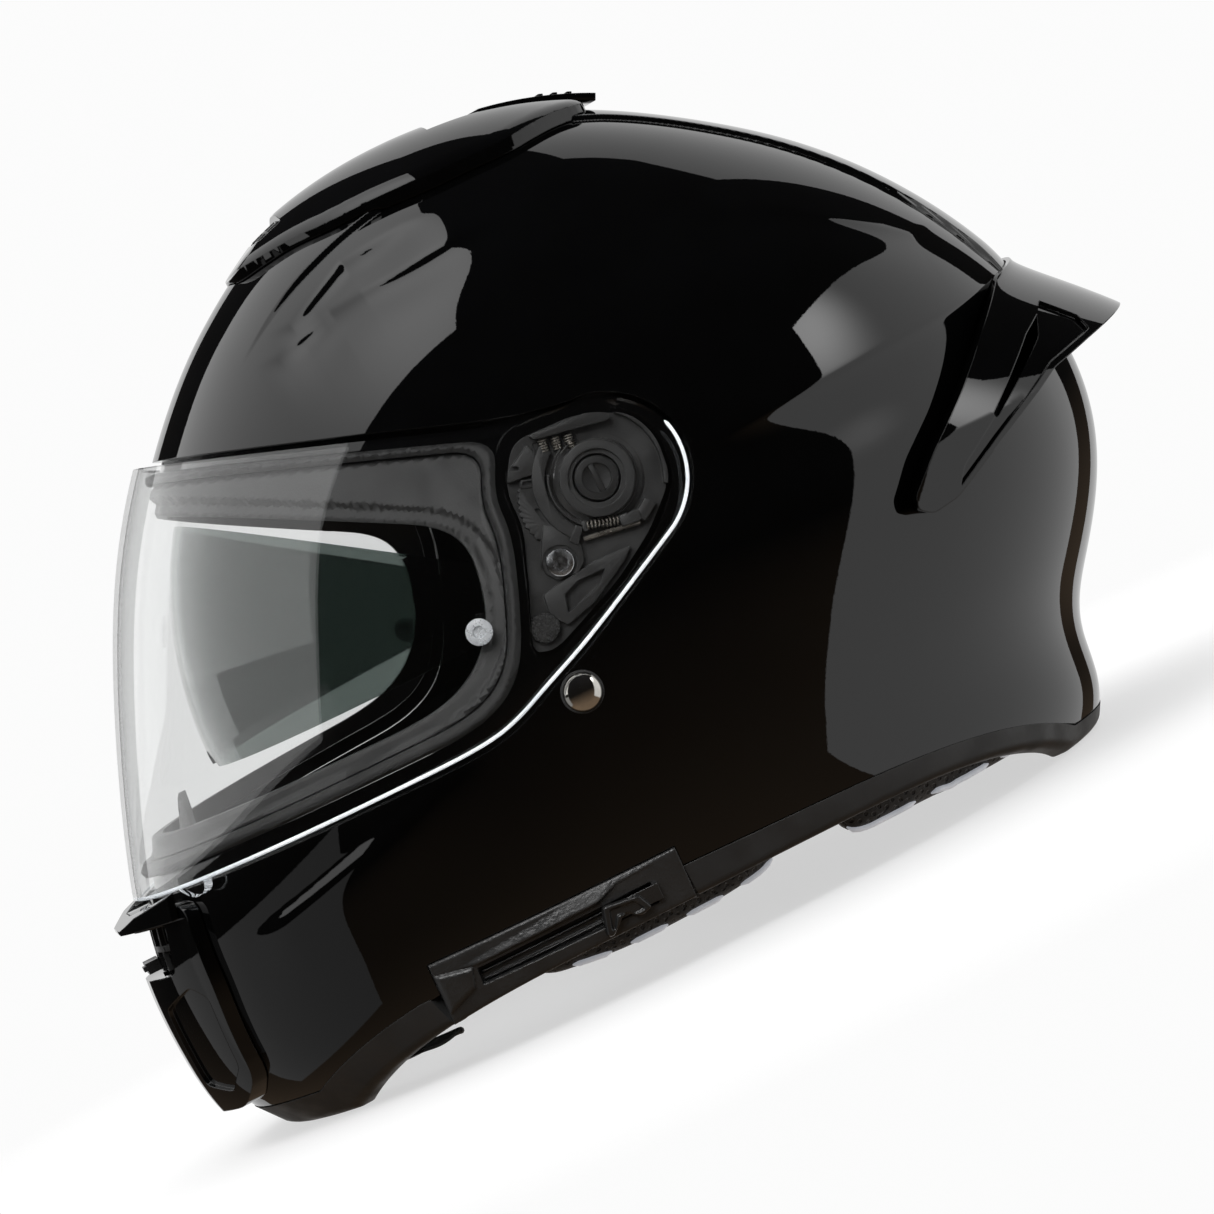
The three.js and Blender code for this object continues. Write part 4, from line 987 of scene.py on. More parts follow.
def build_eyeport():
    opening = rounded(EYEPORT, 9)
    rim = rounded(grown(FRAME_OUTER, -GAP, FACE_CENTRE), 10)

    def frame_top(turn, rise):
        plain = outer_radius(turn, rise)
        p = places(turn, rise, plain)
        lip = -edge_distance(p[..., 1], p[..., 2], opening)
        edge = edge_distance(p[..., 1], p[..., 2], rim)
        sunken = 2.4 * (1 - smooth(BROW - 0.8, BROW + 0.4, lip)) + 1.2 * (1 - crown(lip, 1.2))
        return plain - 1.6 - sunken - 1.0 * (1 - crown(edge, 1.0))

    ring = ring_piece(rim, opening, frame_top, -8)
    finish_piece(ring, "eyeport_surround", "frame", instead_of=["eyeport_frame"])
    outside = rounded(grown(SEAL_OUTER, -GAP, FACE_CENTRE), 10)
    inside = rounded(grown(FRAME_OUTER, 0.1, FACE_CENTRE), 10)

    def seal_top(turn, rise):
        plain = outer_radius(turn, rise)
        p = places(turn, rise, plain)
        near = np.minimum(edge_distance(p[..., 1], p[..., 2], outside),
                          -edge_distance(p[..., 1], p[..., 2], inside))
        return plain - 0.8 + 2.0 * crown(near, 2.0)

    seal = ring_piece(outside, inside, seal_top, -6)
    finish_piece(seal, "visor_seal", "rubber", instead_of=["eyeport_seal"])


# ---- Side covers ---------------------------------------------------------------------------
def side_patch(name, ys, rows, low, high, height, back):
    """A closed slab on the left side: its outer face stands height(y, z) off the plain surface."""
    share = np.linspace(0, 1, rows)
    y = np.repeat(ys[:, None], rows, 1)
    z = low(ys)[:, None] * (1 - share) + high(ys)[:, None] * share
    base = half_width(y, z)
    front = np.stack([base + height(y, z), y, z], -1).reshape(-1, 3)
    rear = np.stack([base + back, y, z], -1).reshape(-1, 3)
    count = len(front)
    index = np.arange(count).reshape(len(ys), rows)
    quads = np.stack([index[:-1, :-1], index[1:, :-1], index[1:, 1:], index[:-1, 1:]], -1).reshape(-1, 4)
    edge = np.concatenate([index[:, 0], index[-1, 1:], index[-2::-1, -1], index[0, -2:0:-1]])
    after = np.roll(edge, -1)
    rim = np.stack([edge, after, after + count, edge + count], -1)
    faces = np.concatenate([quads[:, ::-1], quads + count, rim]).tolist()
    return recalculated(new_object(name, np.concatenate([front, rear]), faces))


COVER_STRIP = [
    (-104, 29.4), (-62.8, 33.2), (-36.4, 33.2), (-33.5, 31.8), (-47.3, 31.2), (-55, 28.4), (-94, 27.4),
]
COVER_NOSE = [(-106.6, 29.6), (-95.2, 27.6), (-97, 21.2), (-106.6, 17)]
COVER_TAIL = [(-46.6, 31.6), (-31.4, 31.6), (-27.6, 21.6), (-40.6, 20.8)]
COVER_CHANNEL = [(-94.2, 26.6), (-38, 27.4), (-38, 20.8), (-94.6, 21.2)]
RAIL_LINES, RAIL_HEIGHT, CHANNEL_DEPTH = (22.6, 25.2), 1.5, 1.9


def cover_height(y, z, with_channel):
    """How far a side cover stands out: the left one has the slider's channel, the right a plain tail."""
    rim = crown(z - rim_height(y), 1.6)
    top = crown(COVER_TOP - z, 1.2)
    face = 0.4 + 0.8 * rim * top
    strip = edge_distance(y, z, COVER_STRIP)
    slope = np.clip((along(y, [(-107, 29.9), (-62.8, 34.2), (-27, 34.2)]) - z) / 5.0, 0, 1)
    face = np.where(strip > 0, np.maximum(face, 0.5 + 2.3 * slope * crown(strip, 0.8)), face)
    nose, tail = edge_distance(y, z, COVER_NOSE), edge_distance(y, z, COVER_TAIL)
    face = np.where(nose > 0, 0.9 + 1.7 * crown(nose, 1.6), face)
    if with_channel:
        deep = edge_distance(y, z, COVER_CHANNEL)
        rails = sum(np.exp(-(((z - line - 0.012 * (y + 66)) / 0.42) ** 4)) for line in RAIL_LINES)
        sunk = face - (face + CHANNEL_DEPTH) * smooth(0, 0.5, deep)
        return np.where(deep > 0, sunk + RAIL_HEIGHT * rails * smooth(0.5, 1.5, deep), face)
    return np.where(tail > 0, np.maximum(face, 0.6 + 2.0 * crown(tail, 3.0)), face)


def build_side_covers():
    ys = np.linspace(COVER_FRONT + GAP, COVER_REAR - GAP, 260)
    top = lambda y: np.full(y.shape, float(COVER_TOP))
    for side, channel in (("left", True), ("right", False)):
        made = side_patch("cover", ys, 64, rim_height, top,
                          lambda y, z: cover_height(y, z, channel), -TRIM_DEPTH)
        cover = made if side == "left" else mirrored(made, "cover")
        if side == "right":
            bpy.data.objects.remove(made)
        finish_piece(shade(cover, angle=40), f"side_cover_shaped_{side}", "cover",
                     instead_of=[f"side_cover_{side}"])


LEVER = [
    (-56.4, 18.4), (-54.6, 17.4), (-48.9, 22.4), (-44.5, 19.4), (-40.4, 20.6), (-42.9, 25.9), (-54.3, 27.3),
]


def build_sun_slider():
    outline = rounded(LEVER, 1.2, 3)
    inner = rounded(grown(LEVER, -2.0, (-49.5, 22.5)), 1.0, 3)
    ys = np.linspace(-56.4, -40.4, 90)

    def lever_height(y, z):
        inside = edge_distance(y, z, outline)
        sunk = smooth(0, 0.8, edge_distance(y, z, inner))
        return np.where(inside > 0, 2.6 + 1.8 * crown(inside, 0.8) - 0.9 * sunk, -1.2)

    lever = side_patch("lever", ys, 60, lambda y: y * 0 + 16.6, lambda y: y * 0 + 27.6, lever_height, -1.5)
    kept(lever, prism("x", outline, 60, 200))
    foot = side_patch("foot", np.linspace(-51.5, -36.5, 20), 8, lambda y: y * 0 + 21.4,
                      lambda y: y * 0 + 26.4, lambda y, z: y * 0 + 2.9, -1.5)
    joined(lever, foot)
    finish_piece(shade(lever, angle=40), "sun_visor_lever", "satin", "sun_slider",
                 instead_of=["sun_visor_slider"])


# ---- Pads, strap and curtain ---------------------------------------------------------------
CHEEK = [
    (-84, 24), (-78, 13.4), (-50, 10.4), (-12, 11.4), (6, 16), (9.6, 40), (9.6, 78), (-9, 93.6),
    (-48, 89.6), (-63, 81.6), (-83.6, 77.6),
]
CHEEK_FACE = [(68.4, 6), (74, 6), (125, 6), (125, 98), (74, 98), (66.6, 60)]
CHEEK_SEAMS = [
    [(96, -86, 22), (96, -84, 15), (94, -74.7, 11), (93, -61.7, 10.2), (93, -54.8, 10.4), (94, -45.2, 12.0),
     (94, -30.4, 12), (94, -20.8, 12), (94, -4, 14), (94, 7, 20)],
    [(67, -70, 14), (67, -58, 40), (66, -46, 88)],
    [(67, -10, 12), (67, -14, 50), (66, -18, 92)],
]
NECK_ROLL = [(22, 10), (96, 6.4), (138, 6.4), (138, 31), (22, 31)]
NECK_SEAMS = [
    [(92, 22, 12), (91, 32, 9), (87, 50, 7.5), (80, 68, 6.4), (70, 82, 6.4), (52, 97, 6.4), (28, 107, 6.4),
     (0, 110, 6.4), (-28, 107, 6.4), (-52, 97, 6.4), (-70, 82, 6.4), (-80, 68, 6.4), (-87, 50, 7.5),
     (-91, 32, 9), (-92, 22, 12)],
]
SEAM_PINCH = 3.2
PUFF_FRAMES = 20


def smooth_path(points, spacing=2.0):
    """A rounded run through the points, evenly spaced."""
    path = np.array(points, float)
    for _ in range(3):
        near, far = path[:-1] * 0.75 + path[1:] * 0.25, path[:-1] * 0.25 + path[1:] * 0.75
        path = np.concatenate([path[:1], np.stack([near, far], 1).reshape(-1, 3), path[-1:]])
    run = np.concatenate([[0], np.cumsum(np.linalg.norm(np.diff(path, axis=0), axis=1))])
    at = np.linspace(0, run[-1], max(2, int(run[-1] / spacing)))
    return np.stack([np.interp(at, run, path[:, i]) for i in range(3)], -1)


def laid_on(obj, points, lift=0.0):
    """The run through the points, drawn onto a piece's surface and lifted off it."""
    depsgraph = bpy.context.evaluated_depsgraph_get()
    tree = BVHTree.FromObject(obj, depsgraph)
    made = []
    for p in smooth_path(points):
        place, normal, _, _ = tree.find_nearest(Vector(p) * MM)
        made.append((place + normal * lift * MM) / MM)
    return smooth_path(made)


def corners_of(obj):
    points = np.zeros(len(obj.data.vertices) * 3, np.float32)
    obj.data.vertices.foreach_get("co", points)
    return points.reshape(-1, 3).astype(float) / MM


def remeshed(obj, voxel):
    step = obj.modifiers.new("even", "REMESH")
    step.mode = "VOXEL"
    step.voxel_size = voxel * MM
    ease = obj.modifiers.new("ease", "SMOOTH")
    ease.factor = 0.5
    ease.iterations = 5
    return bake(obj)


def puffed(pieces):
    """Blows closed pads up as cloth, held in along their seams, all in one run of frames.

    pieces are (object, seams, cap): no corner moves further than cap millimetres.
    """
    before = []
    for obj, seams, _ in pieces:
        points = corners_of(obj)
        before.append(points)
        pins = obj.vertex_groups.new(name="seams")
        line = np.concatenate([laid_on(obj, seam) for seam in seams])
        far = np.linalg.norm(points[:, None] - line[None], axis=-1).min(1)
        for i in np.flatnonzero(far < SEAM_PINCH + 1.5):
            pins.add([int(i)], 1.0, "ADD")
        cloth = obj.modifiers.new("puff", "CLOTH")
        cloth.settings.quality = 5
        cloth.settings.mass = 0.25
        cloth.settings.tension_stiffness = 12
        cloth.settings.compression_stiffness = 12
        cloth.settings.shear_stiffness = 6
        cloth.settings.bending_stiffness = 0.4
        cloth.settings.use_pressure = True
        cloth.settings.uniform_pressure_force = 4.0
        cloth.settings.vertex_group_mass = "seams"
        cloth.settings.effector_weights.gravity = 0
        cloth.collision_settings.use_collision = False
    for number in range(1, PUFF_FRAMES + 1):
        scene.frame_set(number)
    for (obj, seams, cap), points in zip(pieces, before):
        bake(obj)
        moved = corners_of(obj) - points
        far = np.linalg.norm(moved, axis=1, keepdims=True)
        capped = points + moved * np.minimum(1, cap / np.maximum(far, 1e-6))
        obj.data.vertices.foreach_set("co", (capped * MM).astype(np.float32).ravel())
        finer = obj.modifiers.new("finer", "SUBSURF")
        finer.levels = finer.render_levels = 1
        bake(obj)
        obj.data.shade_smooth()


def build_piping(name, obj, seams, gaps=5):
    """Thin reflective cord with a painted glow, along a pad's seams, in short lengths with dark breaks
    between.
    """
    cords = []
    for seam in seams:
        path = laid_on(obj, seam, 0.35)
        per = max(8, len(path) // gaps)
        for start in range(0, len(path) - 4, per):
            run = path[start:start + per - 2]
            if len(run) > 3:
                cords.append(tube("cord", run, 0.95, 8))
    whole = cords[0]
    for other in cords[1:]:
        joined(whole, other)
    return finish_piece(shade(whole, angle=60), name, "piping")


def strap_slit():
    return band("slit", 0.0, 0.52, (5.2, 27), 40), band("slit_low", 0.46, 1.0, (9.0, 33), 40)


def build_cheek_pad():
    pad = skin(-TRIM_DEPTH - 3.4, around=300, up=170, name="cheek")
    kept(pad, prism("x", rounded(CHEEK, 7), 40, 130))
    kept(pad, prism("y", rounded(CHEEK_FACE, 7), -150, 60))
    return remeshed(pad, 4.5)


def head_oval(z0, z1):
    """The upright oval that is kept clear for the head."""
    turns = np.linspace(0, 2 * math.pi, 72, endpoint=False)
    return prism("z", [(78 * math.cos(a), 94 * math.sin(a)) for a in turns], z0, z1)


def build_neck_roll():
    roll = skin(-TRIM_DEPTH - 3.0, around=300, up=170, name="roll")
    cut(roll, head_oval(-60, 70))
    return remeshed(kept(roll, prism("x", rounded(NECK_ROLL, 5))), 4.2)


def strap_curve():
    """The chin strap's middle line, centripetal through its points, evenly spaced, as (x, z)."""
    line = [np.array(p, float) for p in STRAP_LINE]
    line = [line[0] * 2 - line[1]] + line + [line[-1] * 2 - line[-2]]
    made = []
    for p0, p1, p2, p3 in zip(line, line[1:], line[2:], line[3:]):
        t1 = np.linalg.norm(p1 - p0) ** 0.5
        t2 = t1 + np.linalg.norm(p2 - p1) ** 0.5
        t3 = t2 + np.linalg.norm(p3 - p2) ** 0.5
        for t in np.linspace(t1, t2, 40, endpoint=False):
            a = [p0 + (p1 - p0) * t / t1, p1 + (p2 - p1) * (t - t1) / (t2 - t1),
                 p2 + (p3 - p2) * (t - t2) / (t3 - t2)]
            b = [a[0] + (a[1] - a[0]) * t / t2, a[1] + (a[2] - a[1]) * (t - t1) / (t3 - t1)]
            made.append(b[0] + (b[1] - b[0]) * (t - t1) / (t2 - t1))
    made = np.array(made + [line[-2]])
    run = np.concatenate([[0], np.cumsum(np.linalg.norm(np.diff(made, axis=0), axis=1))])
    return run / run[-1], made


STRAP_LINE = [(105, 86), (95, 64), (76, 46), (50, 34), (22, 28), (0, 27)]
STRAP_WIDTH, STRAP_THICKNESS = 22, 1.8


def band(name, start, end, size, steps=70, squareness=6.0, taper=0.0, sides=28):
    """A flat band along the chin strap's line: size is its (thickness, width)."""
    share, line = strap_curve()
    points, faces = [], []
    for i in range(steps + 1):
        u = start + (end - start) * i / steps
        p = np.array([np.interp(u, share, line[:, k]) for k in (0, 1)])
        ahead = np.array([np.interp(u + 0.004, share, line[:, k]) for k in (0, 1)])
        behind = np.array([np.interp(u - 0.004, share, line[:, k]) for k in (0, 1)])
        way = (ahead - behind) / np.linalg.norm(ahead - behind)
        end_share = min(i, steps - i) / steps
        thin = 1 - taper * (1 - crown(end_share, 0.12)) if taper else 1.0
        for k in range(sides):
            a = 2 * math.pi * k / sides
            c, d = math.cos(a), math.sin(a)
            across = math.copysign(abs(c) ** (2 / squareness), c) * size[1] / 2 * (0.7 + 0.3 * thin)
            over = math.copysign(abs(d) ** (2 / squareness), d) * size[0] / 2 * thin
            points.append((p[0] - way[1] * over, STRAP_Y + across, p[1] + way[0] * over))
    for i in range(steps):
        for k in range(sides):
            a, b = i * sides + k, i * sides + (k + 1) % sides
            faces.append((a, b, b + sides, a + sides))
    faces += [tuple(range(sides)), tuple(range(steps * sides, (steps + 1) * sides))]
    return recalculated(new_object(name, points, faces))


def build_strap():
    left = band("strap", 0.03, 0.86, (STRAP_THICKNESS, STRAP_WIDTH), squareness=9)
    long = band("strap", 0.03, 0.93, (STRAP_THICKNESS, STRAP_WIDTH), squareness=9)
    right = mirrored(long, "strap")
    bpy.data.objects.remove(long)
    finish_piece(shade(left, angle=50), "chin_strap_left", "webbing", instead_of=["strap_left"])
    finish_piece(shade(right, angle=50), "chin_strap_right", "webbing", instead_of=["strap_right"])
    sleeve = band("sleeve", 0.5, 0.78, (7.4, 30), squareness=3.0, taper=0.75, sides=40)
    cut(sleeve, band("strap_way", 0.4, 0.9, (STRAP_THICKNESS + 0.6, STRAP_WIDTH + 0.8), squareness=9))
    twin = mirrored(shade(sleeve, angle=50), "sleeve")
    for obj, side in ((sleeve, "left"), (twin, "right")):
        finish_piece(obj, f"strap_sleeve_{side}", "lining", instead_of=[f"strap_pad_{side}"])


def build_curtain():
    """The cloth that closes the gap under the chin, hemmed along its free edge."""
    reach = math.atan2(66, 112)
    turns = np.linspace(-reach, reach, 90)
    outer = wall(np.abs(turns), 8.0, -TRIM_DEPTH - 1)
    free = []
    for t in turns:
        a = (math.sin(t) / 62) ** 2 + (math.cos(t) / 52) ** 2
        b = -2 * 86 * math.cos(t) / 52**2
        c = 86**2 / 52**2 - 1
        root = b * b - 4 * a * c
        free.append(max((-b + math.sqrt(root)) / (2 * a) if root > 0 else 0, 104 / math.cos(t)))
    free = np.minimum(np.array(free), outer - 4)
    rows = 14
    share = np.linspace(0, 1, rows)
    r = free[:, None] * (1 - share) + outer[:, None] * share
    sag = 8.4 - 0.9 * np.sin(share * math.pi)[None] * (1 + 0.25 * np.sin(turns * 60)[:, None])
    top = np.stack([r * np.sin(turns)[:, None], -r * np.cos(turns)[:, None], sag], -1).reshape(-1, 3)
    index = np.arange(len(top)).reshape(len(turns), rows)
    quads = np.stack([index[:-1, :-1], index[1:, :-1], index[1:, 1:], index[:-1, 1:]], -1).reshape(-1, 4)
    cloth = new_object("curtain", top, quads.tolist())
    thick = cloth.modifiers.new("cloth", "SOLIDIFY")
    thick.thickness = 0.9 * MM
    bake(cloth)
    hem_path = np.stack([free * np.sin(turns), -free * np.cos(turns), np.full(len(turns), 8.3)], -1)
    hem = tube("hem", hem_path, 1.1, 8)
    finish_piece(shade(hem, angle=60), "curtain_hem", "webbing")
    finish_piece(shade(cloth, angle=50), "chin_curtain_cloth", "lining", instead_of=["chin_curtain"])


CROWN_FACE = [
    (-220, -20), (24, -20), (24, 60), (24, 96), (2, 112), (-10, 152), (-52, 164), (-112, 200), (-220, 262),
]


def build_crown_pad():
    """A quilted pad against the liner, puffed between its seams."""
    def quilted(turn, rise):
        plain = outer_radius(turn, rise)
        p = places(turn, rise, plain * 0.68)
        x, y, z = np.moveaxis(p, -1, 0)
        seams = np.minimum(np.abs(x - 30), np.minimum(np.abs(y - 40), np.abs(z - 128)))
        edge = np.minimum(-edge_distance(y, z, CROWN_FACE), z - 52)
        return plain * 0.69 - 1.2 - 5.0 * crown(np.minimum(seams, edge), 13)

    pad = dome(lambda turn, rise: outer_radius(turn, rise) * 0.693, 240, 140, "crown")
    cut(pad, dome(quilted, 420, 240))
    below = block(-200, 200, -200, 200, -60, 53)
    cut(pad, head_oval(-60, CENTRE_HEIGHT - 2), prism("x", CROWN_FACE), below)
    shade(pad, quilted, angle=40)
    finish_piece(pad, "crown_lining", "knit", instead_of=["crown_pad"])


def build_deflector():
    outline = rounded([(-46, 80.6), (46, 80.6), (44, 88), (26, 91.5), (13, 104), (0, 108.3), (-13, 104),
                       (-26, 91.5), (-44, 88)], 6, 6)

    def front(turn, rise):
        plain = outer_radius(turn, rise)
        p = places(turn, rise, plain - 14)
        inside = edge_distance(p[..., 0], p[..., 2], outline)
        line = smooth(4.0, 4.8, inside) * (1 - smooth(5.6, 6.4, inside))
        return plain - 14.8 + 0.8 * crown(inside, 1.2) - 0.9 * line

    made = cut(dome(front, 720, 400, "deflector"), skin(-16.6, around=300, up=170))
    kept(made, prism("y", outline, -200, -60))
    cut(made, prism("x", [(-200, 0), (-60, 0), (-60, 80.6), (-200, 80.6)]))
    finish_piece(shade(made, front), "nose_deflector", "deflector", instead_of=["breath_deflector"])


def build_soft_parts():
    cheek, roll = build_cheek_pad(), build_neck_roll()
    puffed([(cheek, CHEEK_SEAMS, 5.0), (roll, NECK_SEAMS, 4.0)])
    piping = build_piping("cheek_piping_left", cheek, CHEEK_SEAMS[:1])
    finish_piece(mirrored(piping, "piping"), "cheek_piping_right", "piping")
    build_piping("neck_piping", roll, NECK_SEAMS, 9)
    cut(cheek, *strap_slit())
    twin = mirrored(cheek, "cheek")
    for obj, side in ((cheek, "left"), (twin, "right")):
        finish_piece(obj, f"cheek_cushion_{side}", "knit", instead_of=[f"cheek_pad_{side}"])
    finish_piece(roll, "neck_cushion", "knit", instead_of=["neck_roll"])
    build_strap()
    build_curtain()
    build_crown_pad()


# ---- Vents and spoiler ---------------------------------------------------------------------
def panel(outline, axis, radius, inner, name):
    """A skin panel cut to an outline, from an inner surface up to its own crowned surface."""
    piece = dome(radius, name=name)
    cut(piece, dome(inner, around=300, up=170))
    kept(piece, prism(axis, outline, *((-220, -100) if axis == "y" else (-FAR / 2, FAR))))
    return piece


def build_top_vent():
    outline = rounded(both_sides(TOP_VENT), 7, 5)
    radius = panel_radius(outline, TOP_VIEW, 1.9, 5.2, 6.0)
    body = panel(outline, "z", radius, shell_radius(GAP), "top_vent")
    cut(body, prism("x", [(-80, 232), (-63, 241), (-32, 258.5), (-20, 300), (-90, 300)]))
    channel = block(-18.5, 18.5, 12, 90, 220, 300)
    cut(body, cut(channel, skin(2.2, around=240, up=140)))
    slot = prism("z", rounded([(-22, -50), (22, -50), (22, -41), (-22, -41)], 2), 225, 262)
    cut(body, cut(slot, skin(1.5, around=240, up=140)))
    shade(body, radius, shell_radius(GAP))
    finish_piece(body, "top_vent_cover", "gloss", instead_of=["top_vent_panel"])
    blades = [rounded([(x - 0.8, -50), (x + 0.8, -50), (x + 0.8, -41.2), (x - 0.8, -41.2)], 0.3)
              for x in (-16, -8, 0, 8, 16)]
    grille = prism("z", [(-21.6, -46.2), (21.6, -46.2), (21.6, -45.2), (-21.6, -45.2)], 225, 262)
    joined(grille, *[prism("z", blade, 225, 262) for blade in blades])
    kept(grille, skin(3.2, around=240, up=140))
    cut(grille, skin(1.8, around=240, up=140))
    finish_piece(shade(grille), "top_vent_louvres", "satin", instead_of=["top_vent_grille"])


def build_top_slider():
    def at(radius, angle):
        return (7 + radius * math.cos(angle * DEG), 129 + radius * math.sin(angle * DEG))
    angles = np.linspace(63.5, 83, 20)
    nose = [at(126.6, 83.0), at(125.9, 83.2)]
    outline = [at(128, a) for a in angles[:-3]] + nose + [at(125.6, a) for a in angles[::-1]]
    slider = prism("x", outline, -17, 17)
    waist = prism("z", rounded([(-12, 14), (12, 14), (17, 34), (17, 80), (-17, 80), (-17, 34)], 5), 200, 300)
    kept(slider, waist)
    grip = [prism("x", [at(127.2, a), at(129.0, a), at(129.0, a + 0.7), at(127.2, a + 0.7)], -11, 11)
            for a in (66.5, 68.5, 70.5)]
    shade(bake(bevelled(joined(slider, *grip), 0.35)))
    finish_piece(slider, "top_vent_thumb_slide", "gloss", "top_slider", instead_of=["top_vent_slider"])


VENT_MOUTH = (34, 60, 75)


def chin_radius(extra=0.0):
    """The chin vent's faceted skin: a flat nose with a crease each side of it."""
    def radius(turn, rise):
        plain = outer_radius(turn, rise)
        x = np.abs(places(turn, rise, plain)[..., 0])
        nose = 8.2 - 3.6 * np.clip((x - 9) / 34, 0, 1) - 0.6 * np.clip(1 - x / 9, 0, 1)
        return plain + nose + extra
    return radius


def build_chin_vent():
    outline = rounded(both_sides(CHIN_VENT), 6, 5)
    half, low, high = VENT_MOUTH
    mouth = rounded([(-half, low), (half, low), (half + 3, high), (-half - 3, high)], 3, 5)

    radius = chin_radius()
    housing = panel(outline, "y", radius, skin_radius(GAP), "chin_vent")
    cut(housing, prism("y", mouth, -220, -100))
    for side in (1, -1):
        facet = [(side * x, z) for x, z in ((14, 24), (30, 20), (41, 27), (45, 50), (38, 55), (16, 50))]
        recess = prism("y", rounded(facet, 2.5, 4), -220, -100)
        cut(housing, cut(recess, dome(chin_radius(-1.5), around=360, up=200)))
    cut(housing, block(-200, 200, -260, -181.5, 0, 200))
    shade(housing, radius, chin_radius(-1.5), skin_radius(GAP))
    finish_piece(housing, "chin_vent_cover", "gloss", instead_of=["chin_vent_housing"])

    ribs = [block(x - 0.9, x + 0.9, -200, -100, low + 0.5, high - 0.5) for x in np.linspace(-27.5, 27.5, 6)]
    grille = joined(block(-32, 32, -200, -100, 66.6, 68.4), *ribs)
    kept(grille, skin(2.0, around=240, up=140))
    cut(grille, skin(0.5, around=240, up=140))
    finish_piece(shade(grille), "chin_vent_ribs", "satin", instead_of=["chin_vent_grille"])

    def lip_radius(turn, rise):
        return outer_radius(turn, rise) + 15 - 10 * smooth(0, 22 * DEG, turn)

    wedge = [(-181.5, 76.6), (-181.5, 77.9), (-176, 80.6), (-162, 83.6), (-150, 83.6), (-150, 75.6),
             (-168, 75.6)]
    lip = dome(lip_radius, around=300, up=170)
    cut(lip, dome(chin_radius(0.4), around=300, up=170))
    kept(lip, prism("x", wedge, -46, 46))
    cut(lip, skin(0.7, around=300, up=170))
    shade(lip, lip_radius)
    finish_piece(lip, "chin_vent_brow", "gloss", instead_of=["chin_vent_lip"])


def spoiler_radius(extra=0.0):
    def radius(turn, rise):
        middle = smooth(112 * DEG, 176 * DEG, turn)
        start = 9 * DEG
        kick = np.clip((start - rise) / start, 0, 1.4)
        return outer_radius(turn, rise) + 3 + 17 * middle * kick**1.3 + extra
    return radius


SPOILER_EDGE = rounded(SPOILER, 1.6, 4)
SPOILER_PANEL = [
    (157.5, 132), (161, 113.4), (142, 110.6), (115, 99), (97, 90.4), (101, 95.5), (118, 105), (143.5, 121),
]


def build_spoiler():
    wing = dome(spoiler_radius(), 720, 400, "spoiler")
    cut(wing, dome(shell_radius(0.5), around=360, up=200))
    kept(wing, prism("x", SPOILER_EDGE))
    recess = cut(prism("x", rounded(SPOILER_PANEL, 1.2, 3)), dome(spoiler_radius(-1.6), around=360, up=200))
    cut(recess, block(-62, 62, -200, 300, 0, 300))
    cut(wing, recess)
    cut(wing, prism("x", rounded(SPOILER_SLOT, 1.0, 4)))
    cut(wing, block(-200, 200, 181.5, 300, 0, 300))
    shade(wing, spoiler_radius(), spoiler_radius(-1.6), shell_radius(0.5))
    finish_piece(wing, "tail_spoiler", "gloss", instead_of=["rear_spoiler"])


# ---- Visor mechanism -----------------------------------------------------------------------
def polar(radius, degrees):
    return (PIVOT[0] + radius * math.cos(degrees * DEG), PIVOT[1] + radius * math.sin(degrees * DEG))


def arc_band(low, high, start, end, steps=24):
    angles = np.linspace(start, end, steps + 1)
    return [polar(high, a) for a in angles] + [polar(low, a) for a in angles[::-1]]


def toothed_edge():
    """The adjuster plate's wavy left edge, from top to bottom, then back along its inside."""
    spine = [(-21.4, 148.6), (-23.2, 145.6), (-24.6, 141.5), (-24.9, 137.5), (-23.6, 132.8), (-20.8, 129.4)]
    ys = np.interp(np.linspace(0, 5, 67), range(6), [p[0] for p in spine])
    zs = np.interp(np.linspace(0, 5, 67), range(6), [p[1] for p in spine])
    teeth = [(y + 0.35 * math.sin(i * 2 * math.pi / 6), z) for i, (y, z) in enumerate(zip(ys, zs))]
    return teeth + [(-15.4, 130.5), (-16.6, 137), (-15.6, 144), (-14.6, 148.6)]


FLOOR_TOP = 113.2
RELIEF = [  # outline, height of its top face
    ([(-12.6, 160.8), (6.8, 159.3), (11.6, 156.4), (10.8, 154.6), (-3.0, 157.4), (-11.6, 159.0)], 117.2),
    ([(-13.8, 158.6), (-23.6, 153.4), (-24.2, 150.9), (-18.0, 150.4), (-13.4, 149.2), (-12.9, 155)], 115.4),
    ([(-20.4, 150.2), (-14.0, 148.0), (-14.6, 145.6), (-21.4, 147.8)], 114.9),
    (toothed_edge(), 114.5),
    ([(-20.0, 135.6), (-22.4, 131.4), (-25.4, 126.2), (-25.9, 122.7), (-23.4, 119.2), (-17.0, 118.6),
      (-13.8, 121.0), (-12.6, 126.0), (-14.6, 130.4), (-17.6, 134)], 115.1),
    ([(-24.4, 118.0), (-29.2, 117.0), (-30.0, 110.5), (-26.4, 106.2), (-16.4, 108.6), (-3.2, 115.6),
      (0.5, 118.8), (-10.5, 119.4)], 115.0),
    ([(0.6, 128.4), (6.9, 127.6), (6.7, 124.2), (0.6, 124.9)], 116.6),
    ([(-9.8, 131.6), (-8.2, 131.4), (-8.8, 128.2), (-10.4, 128.6)], 116.0),
]
